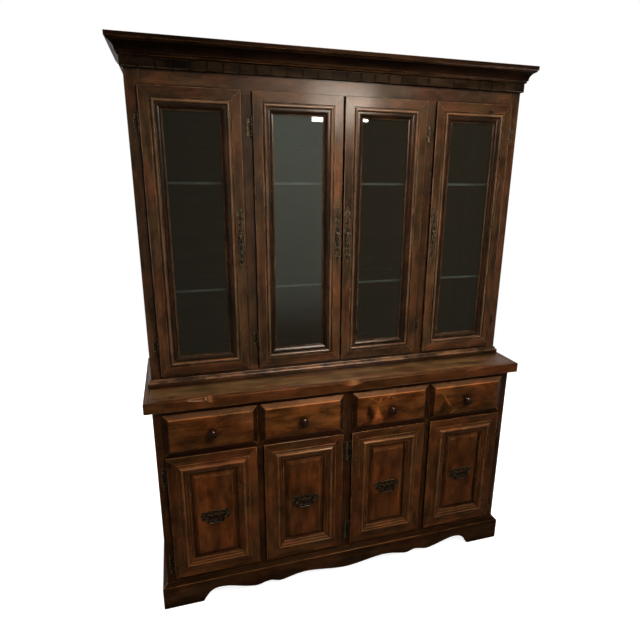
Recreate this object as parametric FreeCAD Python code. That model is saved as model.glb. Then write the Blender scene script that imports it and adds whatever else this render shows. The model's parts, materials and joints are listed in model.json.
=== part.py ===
import FreeCAD, Part
import os

# Dresser with hutch. Millimetres. +Z up, the front faces -Y, X = 0 is the middle of the cabinet.
# Sizes along Y are worked out with y = 0 at the front of the base's face frame. Each shape is moved
# by CENTRE_Y when it is written, so that the origin is under the middle of the whole cabinet.
#
# A profile is a list of steps (along, out). A step of two points is an arc: (through, end).

V = FreeCAD.Vector

# ---- whole cabinet
TOTAL_HEIGHT = 2000.0
CASE_WIDTH = 1422.0
BASE_DEPTH = 440.0
HUTCH_SET_BACK = 115.0        # front of the hutch's face frame behind the base's
BOARD = 19.0                  # solid boards
BACK_PANEL = 6.0
BACK_RABBET = 9.0             # how far the back panels are let into the sides
CLEAR = 0.3                   # gap between pieces that move past each other
SPARE = 1.0                   # how far a cutter goes past what it cuts

# ---- countertop
COUNTER_TOP_Z = 859.0
COUNTER_THICKNESS = 39.0
COUNTER_OVERHANG = 26.0
EDGE_STRIP = 20.0             # width of the strip round the countertop's front and ends
EDGE_ROUND = 4.0
# gouges in the front arris: middle, length, and how far each eats down the front and back on top
GOUGES = ((-545.0, 120.0, 9.0), (-508.0, 62.0, 17.0), (5.0, 106.0, 16.0), (526.0, 88.0, 10.0))

# ---- plinth
PLINTH_PROUD = 19.0
PLINTH_TOP_Z = 104.0
PLINTH_ARRIS_Z = 92.0
PLINTH_ARRIS_BACK = 2.0
PLINTH_FACE_Z = 85.0
FOOT_WIDTH = 148.0            # of the front bracket feet, from the plinth's ends
SIDE_FOOT = 120.0             # of the bracket feet along the sides
SCALLOP_MIDDLE_Z = 16.0
SCALLOP = ((402.0, 36.0), (302.0, 20.0), (262.0, 30.0), (207.0, 20.0), (62.0, 51.0))  # in from a foot, z
FOOT_CURVE = ((30.0, 50.0), (16.0, 30.0))             # Bezier handles from the last scallop to the foot
FOOT_RISE = (62.0, 51.0)      # the side feet curve up over this length to this height
CORNER_BLOCK = 38.0
SIDE_BOTTOM_Z = 60.0          # the sides and stiles stand on corner blocks of this height

# ---- base front
LIP_PROUD = 10.0              # doors and drawers stand this far in front of the face frame
TONGUE_DEPTH = 9.0            # and reach this far into their openings
OVERLAP = 9.0                 # their edges lap the face frame
TONGUE_GAP = 1.5              # between the tongue and the opening
BASE_STILE_SHOW = 31.0        # how much of each stile shows beside the doors
CENTRE_STILE_SHOW = 36.0
DOOR_STILE_SHOW = 26.0
DRAWER_STILE_SHOW = 10.0
OUTER_DOOR = 323.0
OUTER_DRAWER = 329.0
DRAWER_TOP_DOWN = 20.0        # drawers below the countertop's underside
DRAWER_HEIGHT = 157.0
DRAWER_DOOR_GAP = 9.0
DOOR_BOTTOM_Z = 122.0
CUPBOARD_SHELF_UP = 239.0     # above the cupboard floor
CUPBOARD_SHELF_FRONT = 120.0
REAR_RAIL = 40.0

# ---- drawers
DRAWER_FIELD_PROUD = 14.0
DRAWER_EDGE_PROUD = 4.0
DRAWER_BEVEL = 20.0
DRAWER_SIDE = 12.0
DRAWER_SIDE_HEIGHT = 120.0
DRAWER_BOTTOM = 6.0
DRAWER_BOTTOM_UP = 10.0
DRAWER_BACK_GAP = 39.0        # in front of the back panel
DRAWER_BOX_GAP = 3.0          # box inside its opening, each side
RUNNER_HEIGHT = 20.0
GUIDE_HEIGHT = 25.0
GUIDE_GAP = 1.5
KICKER_GAP = 2.0
KNOB_DOWN = 5.5               # knob below the middle of the drawer
KNOB_RADIUS = 17.0
KNOB_LENGTH = 24.0
KNOB_BASE_RADIUS = 10.0
KNOB_DOME_RADIUS = 10.0
KNOB_DOME_RISE = 1.4
# from the knob's base to the edge of its dome: (radius, out)
KNOB_PROFILE = ((10.0, 2.0), ((7.6, 4.5), (7.0, 8.0)), (10.0, 10.5), ((15.5, 12.5), (17.0, 16.0)),
                ((14.6, 20.6), (10.0, 22.6)))

# ---- lower doors: widths are measured inward from the door's edge
EDGE_EASE = 1.5
LOWER_FLAT = 32.0
LOWER_MOULD = 47.0
# the raised moulding: (inward from the flat, out from the flat's face)
LOWER_PROFILE = ((1.0, 2.0), ((9.0, 3.6), (15.0, 7.0)), ((18.5, 8.5), (22.0, 7.5)), (22.0, 6.0),
                 ((27.0, 5.0), (31.0, 3.2)), (31.5, 1.2), ((37.0, 0.2), (41.0, -1.6)), (41.5, -3.2),
                 (47.0, -4.2))
PANEL_GROOVE = 10.0
PANEL_TONGUE = 6.0
PANEL_SET = 8.0               # the panel's edge behind the door's face
PANEL_MARGIN = 1.0
PANEL_BEVEL = 16.0
PANEL_STEP = 2.0
PANEL_FIELD_SET = 0.5

# ---- hutch front
HUTCH_DOOR_BOTTOM_UP = 42.0   # above the countertop
HUTCH_DOOR_TOP_DOWN = 135.0   # below the top of the crown
HUTCH_STILE_SHOW = 36.0
HUTCH_INNER_SHOW = 37.0
HUTCH_CENTRE_GAP = 6.0
UPPER_FLAT = 32.0
UPPER_MOULD = 38.0
UPPER_PROFILE = ((1.5, -2.5), (4.0, -2.5), ((9.0, 2.0), (15.0, -1.5)), (16.0, -4.0), (19.0, -4.0),
                 ((29.0, -6.0), (34.0, -11.0)), (38.0, -11.5))
GLASS = 3.0
GLASS_SET = 14.0
GLASS_REBATE = 10.0
GLASS_SIDE_GAP = 1.0
GLASS_BEAD = (8.0, 6.0)       # width of the bead behind the glass, at the glass and at its back

# ---- hutch case
HUTCH_TOP_DOWN = 10.0         # the case stops this far below the top of the crown
HUTCH_FLOOR_UP = 41.0         # above the countertop
SHELF_UP = (305.0, 676.0)     # tops of the glass shelves above the floor of the hutch
SHELF_THICKNESS = 8.0
SHELF_FRONT_GAP = 8.0
SHELF_END_GAP = 1.5
SHELF_BACK_GAP = 12.0
SHELF_PIN_RADIUS = 3.0
SHELF_PIN_OUT = 12.0
SHELF_PIN_IN = 6.0
SHELF_PIN_FRONT = 20.0        # first pin behind the shelf's front edge
SHELF_PIN_SPAN = 185.0

# ---- hutch mouldings: (out from the case, up from the moulding's bottom)
CROWN_PROUD = 42.0
CROWN_HEIGHT = 58.0
CROWN_PROFILE = ((9.0, 0.0), (14.0, 3.0), (14.0, 8.0), (18.0, 10.0), ((21.0, 24.0), (31.0, 35.0)),
                 (37.0, 38.0), (39.0, 43.0), (42.0, 45.0), (42.0, 58.0))
FRIEZE_HEIGHT = 30.0
FRIEZE_PROUD = 9.0
FRIEZE_EASE = 2.0
FOOT_MOULD_HEIGHT = 30.0
FOOT_MOULD_PROFILE = ((12.0, 0.0), (12.0, 14.0), ((10.5, 19.5), (6.0, 22.0)), (5.0, 26.0),
                      ((4.0, 28.8), (2.0, 30.0)))

# ---- hinges: height of the barrel, and of each of the two knuckles on the frame leaf
UPPER_HINGE = (52.0, 16.0)
LOWER_HINGE = (84.0, 27.0)
UPPER_HINGE_INSETS = (113.0, 113.0)   # middle of a hinge from the door's bottom and top
LOWER_HINGE_INSETS = (64.0, 82.0)
BARREL_RADIUS = 3.2
PIN_RADIUS = 1.5
BARREL_OUT = 3.7              # barrel axis outside the door's edge
BARREL_PROUD = 4.5            # and in front of the face frame
FRAME_LEAF_WIDTH = 10.8
LEAF = 1.0
DOOR_LEAF = 1.2
DOOR_LEAF_BACK = 22.0
DOOR_LEAF_SET = 1.0           # the door leaf crosses this far in front of the lip's back
PIN_PLAY = 0.06
RECESS_PLAY = 0.15
FINIAL = 9.0
FINIAL_RADII = (2.8, 0.8)
SCREW_RADIUS = 2.6
SCREW_HEAD = 0.9
SCREW_IN = 6.0                # screws from the barrel's side

# ---- catches
CATCH_LENGTH = 46.0
CATCH_HEIGHT = 14.0
CATCH_DEPTH = 16.0
CATCH_INSET = 45.0            # middle of the catch from the door's free edge
STRIKE = 1.2
STRIKE_SHORT = 3.0

# ---- upper pulls: a long plate and a drop
PLATE = 1.5
ESCUTCHEON_UP = 5.0           # middle of the plate above the middle of the door
ESCUTCHEON_HALF = 103.0
ESCUTCHEON_INSET = 16.0
# right half of the plate from its top: (across, up from its middle)
ESCUTCHEON = ((0.0, 103.0), ((5.0, 99.0), (3.6, 92.0)), ((11.4, 79.0), (5.4, 67.0)),
              ((10.2, 55.0), (6.0, 43.0)), ((9.0, 34.0), (7.4, 26.0)), ((12.0, 14.0), (11.5, 0.0)),
              ((12.0, -18.0), (7.2, -34.0)), ((10.2, -44.0), (6.0, -56.0)),
              ((10.8, -73.0), (4.2, -87.0)), ((5.0, -97.0), (0.0, -103.0)))
DROP_AXIS_UP = 9.0            # hinge of the drop above the plate's middle
DROP_AXIS_OUT = 4.6
DROP_EYE = 2.4
DROP_THICK = 4.0
# right half of the drop below its eye: (across, down from the axis)
DROP = ((0.0, 0.0), (1.6, 0.0), (1.6, 1.8), ((2.4, 7.8), (4.0, 13.8)), ((5.5, 21.8), (3.0, 30.0)),
        ((1.6, 32.4), (0.0, 33.0)))
EAR_HALF_GAP = 2.8
EAR = 1.8
DROP_PIN = 1.0

# ---- lower pulls: a batwing plate and a bail
PULL_DOWN = 12.0              # middle of the plate below the middle of the door
# right half of the plate from its top: (across, up from its middle)
BATWING = ((0.0, 24.0), ((5.6, 29.0), (13.4, 21.0)), ((23.5, 28.0), (37.0, 20.0)),
           ((44.8, 27.0), (51.5, 17.0)), ((56.0, 8.0), (48.2, 1.0)), ((52.0, -6.0), (41.4, -10.0)),
           ((33.6, -8.0), (28.0, -14.0)), ((23.5, -25.0), (14.6, -22.0)), ((7.8, -29.0), (0.0, -23.0)))
BAIL_HALF = 36.0
BAIL_DROP = 24.0
BAIL_ROD = 2.6
BAIL_BEND = 11.4
BAIL_OUT = 8.0
BAIL_AXIS_UP = 5.0
POST_RADIUS = 4.4
POST_LENGTH = 12.5
BAIL_PIN_RADIUS = 1.6
BAIL_PIN_IN = 5.0

# ---- worked out from the above
HALF = CASE_WIDTH / 2
INSIDE = HALF - BOARD
CASE_BACK = BASE_DEPTH
PANEL_FRONT = CASE_BACK - BACK_PANEL
BASE_TOP_Z = COUNTER_TOP_Z - COUNTER_THICKNESS
DRAWER_TOP_Z = BASE_TOP_Z - DRAWER_TOP_DOWN
DRAWER_Z = (DRAWER_TOP_Z - DRAWER_HEIGHT, DRAWER_TOP_Z)
DOOR_Z = (DOOR_BOTTOM_Z, DRAWER_Z[0] - DRAWER_DOOR_GAP)
HUTCH_DOOR_Z = (COUNTER_TOP_Z + HUTCH_DOOR_BOTTOM_UP, TOTAL_HEIGHT - HUTCH_DOOR_TOP_DOWN)
HUTCH_TOP_Z = TOTAL_HEIGHT - HUTCH_TOP_DOWN
HUTCH_FLOOR_Z = COUNTER_TOP_Z + HUTCH_FLOOR_UP
SHELF_TOP_Z = (HUTCH_FLOOR_Z + SHELF_UP[0], HUTCH_FLOOR_Z + SHELF_UP[1])
HUTCH_FRAME_BACK = HUTCH_SET_BACK + BOARD
TONGUE = OVERLAP + TONGUE_GAP
BASE_FLOOR_Z = DOOR_Z[0] + OVERLAP
CUPBOARD_SHELF_Z = BASE_FLOOR_Z + CUPBOARD_SHELF_UP
FRONT_MOST = -(DRAWER_FIELD_PROUD + KNOB_LENGTH)
CENTRE_Y = (FRONT_MOST + CASE_BACK) / 2
PANEL_FACE_Y = PANEL_FIELD_SET - LIP_PROUD
HUTCH_DOOR_FACE_Y = HUTCH_SET_BACK - LIP_PROUD
KNOB_Z = (DRAWER_Z[0] + DRAWER_Z[1]) / 2 - KNOB_DOWN
ESCUTCHEON_Z = (HUTCH_DOOR_Z[0] + HUTCH_DOOR_Z[1]) / 2 + ESCUTCHEON_UP
PULL_Z = (DOOR_Z[0] + DOOR_Z[1]) / 2 - PULL_DOWN
FOOT_INNER_X = HALF + PLINTH_PROUD - FOOT_WIDTH
DRAWER_BACK_Y = PANEL_FRONT - DRAWER_BACK_GAP


# ---------------------------------------------------------------- shape helpers

def box(x0, x1, y0, y1, z0, z1):
    """A block between two corners."""
    return Part.makeBox(x1 - x0, y1 - y0, z1 - z0, V(x0, y0, z0))


def mirror_x(shape):
    return shape.mirror(V(0, 0, 0), V(1, 0, 0))


def both_sides(shape):
    """A piece on the right and its mirror image on the left."""
    return [shape, mirror_x(shape)]


def points_of(step):
    """The one or two points of a profile's step."""
    return step if isinstance(step[0], tuple) else (step,)


def moved(steps, place):
    """The same profile with each of its points put through place(u, v)."""
    result = []
    for step in steps:
        placed = tuple(place(*point) for point in points_of(step))
        result.append(placed if len(placed) == 2 else placed[0])
    return result


def outline(steps, place):
    """A face from profile steps, each point put into space by place(u, v)."""
    edges = []
    here = steps[0]
    for step in steps[1:] + [steps[0]]:
        if isinstance(step[0], tuple):
            through, end = step
            edges.append(Part.Arc(place(*here), place(*through), place(*end)).toShape())
        else:
            end = step
            if end != here:
                edges.append(Part.LineSegment(place(*here), place(*end)).toShape())
        here = end
    return Part.Face(Part.Wire(edges))


def prism_z(points, z0, z1):
    """A flat outline in plan, drawn up from z0 to z1."""
    face = outline(list(points), lambda u, v: V(u, v, z0))
    return face.extrude(V(0, 0, z1 - z0))


def cylinder(radius, start, end):
    line = end - start
    return Part.makeCylinder(radius, line.Length, start, line)


def fuse(shapes):
    return shapes[0].fuse(shapes[1:]).removeSplitter()


def moulding_run(section, half_width, front_y, back_y):
    """A moulding round the front and both ends, mitred at the front corners.

    section lists (out, z) points, out being the distance in front of the case.
    Gives the front piece and the two returns.
    """
    reach = SPARE + max(point[0] for step in section for point in points_of(step))
    low, high = -SPARE, TOTAL_HEIGHT + SPARE
    front = outline(section, lambda out, z: V(-half_width - reach, front_y - out, z))
    front = front.extrude(V(2 * (half_width + reach), 0, 0))
    corner = (half_width + reach, front_y - reach)
    front_zone = [(-half_width, front_y), (half_width, front_y), corner, (-corner[0], corner[1])]
    front = front.common(prism_z(front_zone, low, high))
    side = outline(section, lambda out, z: V(half_width + out, front_y - reach, z))
    side = side.extrude(V(0, back_y - front_y + reach, 0))
    side_zone = [(half_width, front_y), corner, (corner[0], back_y), (half_width, back_y)]
    side = side.common(prism_z(side_zone, low, high))
    return [front] + both_sides(side)


def mitred_frame(section, x0, x1, z0, z1, width):
    """Four members mitred at the corners: left, right, bottom, top.

    section lists (w, y) points, w being the distance inward from the frame's edge.
    """
    front = -LIP_PROUD - max(width, SPARE)

    def zone(points):
        face = outline(points, lambda u, v: V(u, front, v))
        return face.extrude(V(0, CASE_BACK - front, 0))

    left = outline(section, lambda w, y: V(x0 + w, y, z0)).extrude(V(0, 0, z1 - z0))
    left_zone = zone([(x0, z0), (x0 + width, z0 + width), (x0 + width, z1 - width), (x0, z1)])
    right = outline(section, lambda w, y: V(x1 - w, y, z0)).extrude(V(0, 0, z1 - z0))
    right_zone = zone([(x1, z0), (x1 - width, z0 + width), (x1 - width, z1 - width), (x1, z1)])
    bottom = outline(section, lambda w, y: V(x0, y, z0 + w)).extrude(V(x1 - x0, 0, 0))
    bottom_zone = zone([(x0, z0), (x0 + width, z0 + width), (x1 - width, z0 + width), (x1, z0)])
    top = outline(section, lambda w, y: V(x0, y, z1 - w)).extrude(V(x1 - x0, 0, 0))
    top_zone = zone([(x0, z1), (x0 + width, z1 - width), (x1 - width, z1 - width), (x1, z1)])
    pairs = [(left, left_zone), (right, right_zone), (bottom, bottom_zone), (top, top_zone)]
    return [member.common(where) for member, where in pairs]


def frustum(x0, x1, z0, z1, y_back, y_front, inset):
    """A raised field: a rectangle at y_back that is smaller by inset at y_front."""
    def ring(y, d):
        corners = [V(x0 + d, y, z0 + d), V(x1 - d, y, z0 + d), V(x1 - d, y, z1 - d), V(x0 + d, y, z1 - d)]
        return Part.makePolygon(corners + corners[:1])
    return Part.makeLoft([ring(y_back, 0.0), ring(y_front, inset)], True, True)


def write(node, shapes):
    """One STEP file for one node, moved into the cabinet's own frame."""
    solids = []
    for shape in shapes:
        solids.extend(shape.Solids)
    node_shape = Part.makeCompound(solids)
    node_shape.translate(V(0, -CENTRE_Y, 0))
    node_shape.exportStep("parts/" + node + ".step")


# ---------------------------------------------------------------- base

def wave(points, place):
    """Smooth edges between turning points, each level where it turns."""
    edges = []
    for (u0, v0), (u1, v1) in zip(points, points[1:]):
        curve = Part.BezierCurve()
        third = (u1 - u0) / 3
        poles = [place(u0, v0), place(u0 + third, v0), place(u1 - third, v1), place(u1, v1)]
        curve.setPoles(poles)
        edges.append(curve.toShape())
    return edges


def bezier(points, place):
    curve = Part.BezierCurve()
    curve.setPoles([place(u, v) for u, v in points])
    return curve.toShape()


def apron_cutter():
    """What is sawn away under the front of the plinth, from its scalloped edge down."""
    deep = BOARD + PLINTH_PROUD

    def place(u, v):
        return V(u, -deep, v)

    turns = [(0.0, SCALLOP_MIDDLE_Z)] + [(FOOT_INNER_X - u, v) for u, v in SCALLOP]
    handles = [(FOOT_INNER_X - u, v) for u, v in FOOT_CURVE]
    right = wave(turns, place) + [bezier([turns[-1]] + handles + [(FOOT_INNER_X, 0.0)], place)]
    whole = [mirror_x(edge) for edge in right] + right
    corners = [V(FOOT_INNER_X, -deep, 0), V(FOOT_INNER_X, -deep, -BOARD),
               V(-FOOT_INNER_X, -deep, -BOARD), V(-FOOT_INNER_X, -deep, 0)]
    straight = [Part.LineSegment(a, b).toShape() for a, b in zip(corners, corners[1:])]
    wire = Part.Wire(Part.__sortEdges__(whole + straight))
    return Part.Face(wire).extrude(V(0, 2 * deep, 0))


def side_cutter():
    """What is sawn away under each return of the plinth, between its bracket feet."""
    outside = HALF + 2 * PLINTH_PROUD
    near = -PLINTH_PROUD + SIDE_FOOT
    far = CASE_BACK - SIDE_FOOT
    run, top = FOOT_RISE

    def place(u, v):
        return V(-outside, u, v)

    ahead = [(near + u, v) for u, v in reversed(FOOT_CURVE)]
    behind = [(far - u, v) for u, v in FOOT_CURVE]
    edges = [bezier([(near, 0.0)] + ahead + [(near + run, top)], place),
             bezier([(far - run, top)] + behind + [(far, 0.0)], place)]
    corners = [(far, 0.0), (far, -BOARD), (near, -BOARD), (near, 0.0)]
    lines = [((near + run, top), (far - run, top))] + list(zip(corners, corners[1:]))
    for start, end in lines:
        edges.append(Part.LineSegment(place(*start), place(*end)).toShape())
    wire = Part.Wire(Part.__sortEdges__(edges))
    return Part.Face(wire).extrude(V(2 * outside, 0, 0))


def plinth():
    nose = PLINTH_PROUD - PLINTH_ARRIS_BACK
    section = [(0.0, 0.0), (PLINTH_PROUD, 0.0), (PLINTH_PROUD, PLINTH_FACE_Z), (nose, PLINTH_ARRIS_Z),
               (0.0, PLINTH_TOP_Z)]
    front, right, left = moulding_run(section, HALF, 0.0, CASE_BACK)
    front = front.cut(apron_cutter())
    right = right.cut(side_cutter())
    left = left.cut(side_cutter())
    return [front, right, left]


def base_case():
    """Sides, bottom, centre partition, cupboard shelves, rear rail and corner blocks."""
    rabbet = box(INSIDE, INSIDE + BACK_RABBET, PANEL_FRONT, CASE_BACK, SIDE_BOTTOM_Z, BASE_TOP_Z)
    side = box(INSIDE, HALF, BOARD, CASE_BACK, SIDE_BOTTOM_Z, BASE_TOP_Z).cut(rabbet)
    floor_z = BASE_FLOOR_Z - BOARD
    floor = box(-INSIDE, INSIDE, BOARD, PANEL_FRONT, floor_z, BASE_FLOOR_Z)
    partition = box(-BOARD / 2, BOARD / 2, BOARD, PANEL_FRONT, BASE_FLOOR_Z, BASE_TOP_Z)
    shelf = box(BOARD / 2, INSIDE, CUPBOARD_SHELF_FRONT, PANEL_FRONT,
                CUPBOARD_SHELF_Z, CUPBOARD_SHELF_Z + BOARD)
    rail = box(BOARD / 2, INSIDE, PANEL_FRONT - BOARD, PANEL_FRONT, BASE_TOP_Z - REAR_RAIL, BASE_TOP_Z)
    blocks = []
    for y in (0.0, CASE_BACK - CORNER_BLOCK):
        blocks.append(box(HALF - CORNER_BLOCK, HALF, y, y + CORNER_BLOCK, 0.0, SIDE_BOTTOM_Z))
    pieces = [floor, partition]
    for piece in [side, shelf, rail] + blocks:
        pieces.extend(both_sides(piece))
    return pieces


def base_back():
    return [box(-INSIDE - BACK_RABBET, INSIDE + BACK_RABBET, PANEL_FRONT, CASE_BACK,
                BASE_FLOOR_Z - BOARD, BASE_TOP_Z)]


def base_face_frame():
    """Outer stiles, centre stile, three rails, and short stiles between drawers and between doors."""
    edge = HALF - BASE_STILE_SHOW - OVERLAP
    centre = CENTRE_STILE_SHOW / 2 + OVERLAP
    top_z = DRAWER_Z[1] - OVERLAP
    mid_z = (DOOR_Z[1] - OVERLAP, DRAWER_Z[0] + OVERLAP)
    drawers = drawer_spans()
    doors = door_spans()
    pieces = [box(-centre, centre, 0, BOARD, SIDE_BOTTOM_Z, BASE_TOP_Z)]
    right = [
        box(edge, HALF, 0, BOARD, SIDE_BOTTOM_Z, BASE_TOP_Z),
        box(centre, edge, 0, BOARD, top_z, BASE_TOP_Z),
        box(centre, edge, 0, BOARD, mid_z[0], mid_z[1]),
        box(centre, edge, 0, BOARD, SIDE_BOTTOM_Z, BASE_FLOOR_Z),
        box(drawers[2][1] - OVERLAP, drawers[3][0] + OVERLAP, 0, BOARD, mid_z[1], top_z),
        box(doors[2][1] - OVERLAP, doors[3][0] + OVERLAP, 0, BOARD, BASE_FLOOR_Z, mid_z[0]),
    ]
    for piece in right:
        pieces.extend(both_sides(piece))
    return pieces


def countertop():
    """The board, with a strip mitred round its front and ends, gouged along the front arris."""
    inner = HALF + COUNTER_OVERHANG - EDGE_STRIP
    front_y = EDGE_STRIP - COUNTER_OVERHANG
    board = box(-inner, inner, front_y, CASE_BACK, BASE_TOP_Z, COUNTER_TOP_Z)
    bend = EDGE_ROUND * (1 - 0.5 ** 0.5)
    arris = ((EDGE_STRIP - bend, COUNTER_TOP_Z - bend), (EDGE_STRIP - EDGE_ROUND, COUNTER_TOP_Z))
    section = [(0.0, BASE_TOP_Z), (EDGE_STRIP, BASE_TOP_Z), (EDGE_STRIP, COUNTER_TOP_Z - EDGE_ROUND),
               arris, (0.0, COUNTER_TOP_Z)]
    front, right, left = moulding_run(section, inner, front_y, CASE_BACK)
    for x, length, leg in GOUGES:
        front = front.cut(gouge(x, length, leg))
    return [board, front, right, left]


def gouge(x, length, leg):
    """A round-bottomed cut across the countertop's front arris."""
    depth = leg * 0.5 ** 0.5
    radius = (length ** 2 / 4 + depth ** 2) / (2 * depth)
    away = (radius - depth) * 0.5 ** 0.5
    centre = V(x, -COUNTER_OVERHANG - away, COUNTER_TOP_Z + away)
    reach = V(0, 2 * length, 2 * length)
    return cylinder(radius, centre - reach, centre + reach)


def four_across(inner, outer):
    """Left and right edges of four fronts in a row, from those of the two on the right."""
    return [(-outer[1], -outer[0]), (-inner[1], -inner[0]), inner, outer]


def drawer_spans():
    side = HALF - BASE_STILE_SHOW
    edge = side - OUTER_DRAWER
    return four_across((CENTRE_STILE_SHOW / 2, edge - DRAWER_STILE_SHOW), (edge, side))


def door_spans():
    side = HALF - BASE_STILE_SHOW
    edge = side - OUTER_DOOR
    return four_across((CENTRE_STILE_SHOW / 2, edge - DOOR_STILE_SHOW), (edge, side))


def upper_spans():
    """The hutch's four doors share the front equally between its stiles."""
    side = HALF - HUTCH_STILE_SHOW
    start = HUTCH_CENTRE_GAP / 2
    width = (side - start - HUTCH_INNER_SHOW) / 2
    return four_across((start, start + width), (side - width, side))


def drawer_box_span(span):
    """The drawer box's outer faces, inside its opening."""
    inset = OVERLAP + DRAWER_BOX_GAP
    return (span[0] + inset, span[1] - inset)


def drawer_front(span):
    x0, x1 = span
    z0, z1 = DRAWER_Z
    lip = box(x0, x1, -DRAWER_EDGE_PROUD, -CLEAR, z0, z1)
    field = frustum(x0, x1, z0, z1, -DRAWER_EDGE_PROUD, -DRAWER_FIELD_PROUD, DRAWER_BEVEL)
    tongue = box(x0 + TONGUE, x1 - TONGUE, -CLEAR, TONGUE_DEPTH, z0 + TONGUE, z1 - TONGUE)
    return fuse([lip, field, tongue])


def drawer_bottom_z():
    return DRAWER_Z[0] + OVERLAP + DRAWER_BOX_GAP


def drawer_box(span):
    """Two grooved sides, a back and a bottom."""
    x0, x1 = drawer_box_span(span)
    z0 = drawer_bottom_z()
    z1 = z0 + DRAWER_SIDE_HEIGHT
    groove = DRAWER_SIDE / 2
    bottom_z = z0 + DRAWER_BOTTOM_UP
    bottom = box(x0 + groove, x1 - groove, TONGUE_DEPTH, DRAWER_BACK_Y, bottom_z, bottom_z + DRAWER_BOTTOM)
    left = box(x0, x0 + DRAWER_SIDE, TONGUE_DEPTH, DRAWER_BACK_Y, z0, z1).cut(bottom)
    right = box(x1 - DRAWER_SIDE, x1, TONGUE_DEPTH, DRAWER_BACK_Y, z0, z1).cut(bottom)
    back = box(x0 + DRAWER_SIDE, x1 - DRAWER_SIDE, DRAWER_BACK_Y - DRAWER_SIDE, DRAWER_BACK_Y,
               bottom_z + DRAWER_BOTTOM, z1)
    return [left, right, back, bottom]


def drawer_knob(span):
    """A turned knob: base, waist and domed head."""
    middle = (span[0] + span[1]) / 2
    root = DRAWER_FIELD_PROUD
    tip = root + KNOB_LENGTH
    sphere = (KNOB_DOME_RADIUS ** 2 + KNOB_DOME_RISE ** 2) / (2 * KNOB_DOME_RISE)
    half = KNOB_DOME_RADIUS / 2
    dome_mid = tip - sphere + (sphere ** 2 - half ** 2) ** 0.5
    turned = moved(KNOB_PROFILE, lambda radius, out: (radius, root + out))
    steps = [(0.0, root), (KNOB_BASE_RADIUS, root)] + turned + [((half, dome_mid), (0.0, tip))]
    face = outline(steps, lambda r, out: V(middle + r, -out, KNOB_Z))
    return face.revolve(V(middle, 0, KNOB_Z), V(0, 1, 0), 360)


def drawer_runners():
    """Under and beside each drawer box: runners, side guides, and kickers above."""
    top = drawer_bottom_z() - CLEAR
    spans = [drawer_box_span(span) for span in drawer_spans()[2:]]
    kick_z = drawer_bottom_z() + DRAWER_SIDE_HEIGHT + KICKER_GAP
    guides = [(BOARD / 2, spans[0][0] - GUIDE_GAP), (spans[0][1] + GUIDE_GAP, spans[1][0] - GUIDE_GAP),
              (spans[1][1] + GUIDE_GAP, INSIDE)]
    runners = [(BOARD / 2, spans[0][0] + DRAWER_SIDE), (spans[0][1] - DRAWER_SIDE, spans[1][0] + DRAWER_SIDE),
               (spans[1][1] - DRAWER_SIDE, INSIDE)]
    back = PANEL_FRONT - BOARD
    pieces = []
    for (g0, g1), (r0, r1) in zip(guides, runners):
        pieces.extend(both_sides(box(r0, r1, BOARD, PANEL_FRONT, top - RUNNER_HEIGHT, top)))
        pieces.extend(both_sides(box(g0, g1, BOARD, back, top, top + GUIDE_HEIGHT)))
        pieces.extend(both_sides(box(r0, r1, BOARD, back, kick_z, BASE_TOP_Z)))
    return pieces


# ---------------------------------------------------------------- doors

def rabbet(members, x0, x1, z0, z1, face_y, sides):
    """Cut the lip's step behind the door's edges, so that its tongue enters the opening.

    face_y is the front of the face frame. sides names the edges that lap a stile or rail.
    """
    back = face_y + TONGUE_DEPTH
    front = face_y - CLEAR
    x_low, x_high = x0 - SPARE, x1 + SPARE
    z_low, z_high = z0 - SPARE, z1 + SPARE
    behind = back + SPARE
    cutters = {
        "left": box(x_low, x0 + TONGUE, front, behind, z_low, z_high),
        "right": box(x1 - TONGUE, x_high, front, behind, z_low, z_high),
        "bottom": box(x_low, x_high, front, behind, z_low, z0 + TONGUE),
        "top": box(x_low, x_high, front, behind, z1 - TONGUE, z_high),
    }
    for side in sides:
        members = [member.cut(cutters[side]) for member in members]
    return members


def lower_section():
    """A lower door's member: flat, moulding raised above it, groove for the panel."""
    front = -LIP_PROUD
    back = TONGUE_DEPTH
    inner = LOWER_FLAT + LOWER_MOULD
    panel = front + PANEL_SET
    groove = inner - PANEL_GROOVE
    moulding = moved(LOWER_PROFILE, lambda across, out: (LOWER_FLAT + across, front - out))
    return ([(0.0, front + EDGE_EASE), (EDGE_EASE, front), (LOWER_FLAT, front)] + moulding
            + [(inner, panel), (groove, panel), (groove, panel + PANEL_TONGUE),
               (inner, panel + PANEL_TONGUE), (inner, back), (0.0, back)])


def lower_door_frame(span, sides):
    z0, z1 = DOOR_Z
    members = mitred_frame(lower_section(), span[0], span[1], z0, z1, LOWER_FLAT + LOWER_MOULD)
    return rabbet(members, span[0], span[1], z0, z1, 0.0, sides)


def lower_door_panel(span):
    """Raised and fielded: a tongue in the frame's groove, a bevel, a small step and the field."""
    inner = LOWER_FLAT + LOWER_MOULD
    edge = inner - PANEL_GROOVE + PANEL_MARGIN
    x0, x1 = span
    z0, z1 = DOOR_Z
    y_edge = -LIP_PROUD + PANEL_SET
    y_back = y_edge + PANEL_TONGUE
    y_field = PANEL_FACE_Y
    base = box(x0 + edge, x1 - edge, y_edge, y_back, z0 + edge, z1 - edge)
    foot = inner + PANEL_MARGIN
    bevel = frustum(x0 + foot, x1 - foot, z0 + foot, z1 - foot, y_edge, y_field + PANEL_STEP, PANEL_BEVEL)
    rim = foot + PANEL_BEVEL
    field = box(x0 + rim, x1 - rim, y_field, y_field + PANEL_STEP, z0 + rim, z1 - rim)
    return fuse([base, bevel, field])


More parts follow.
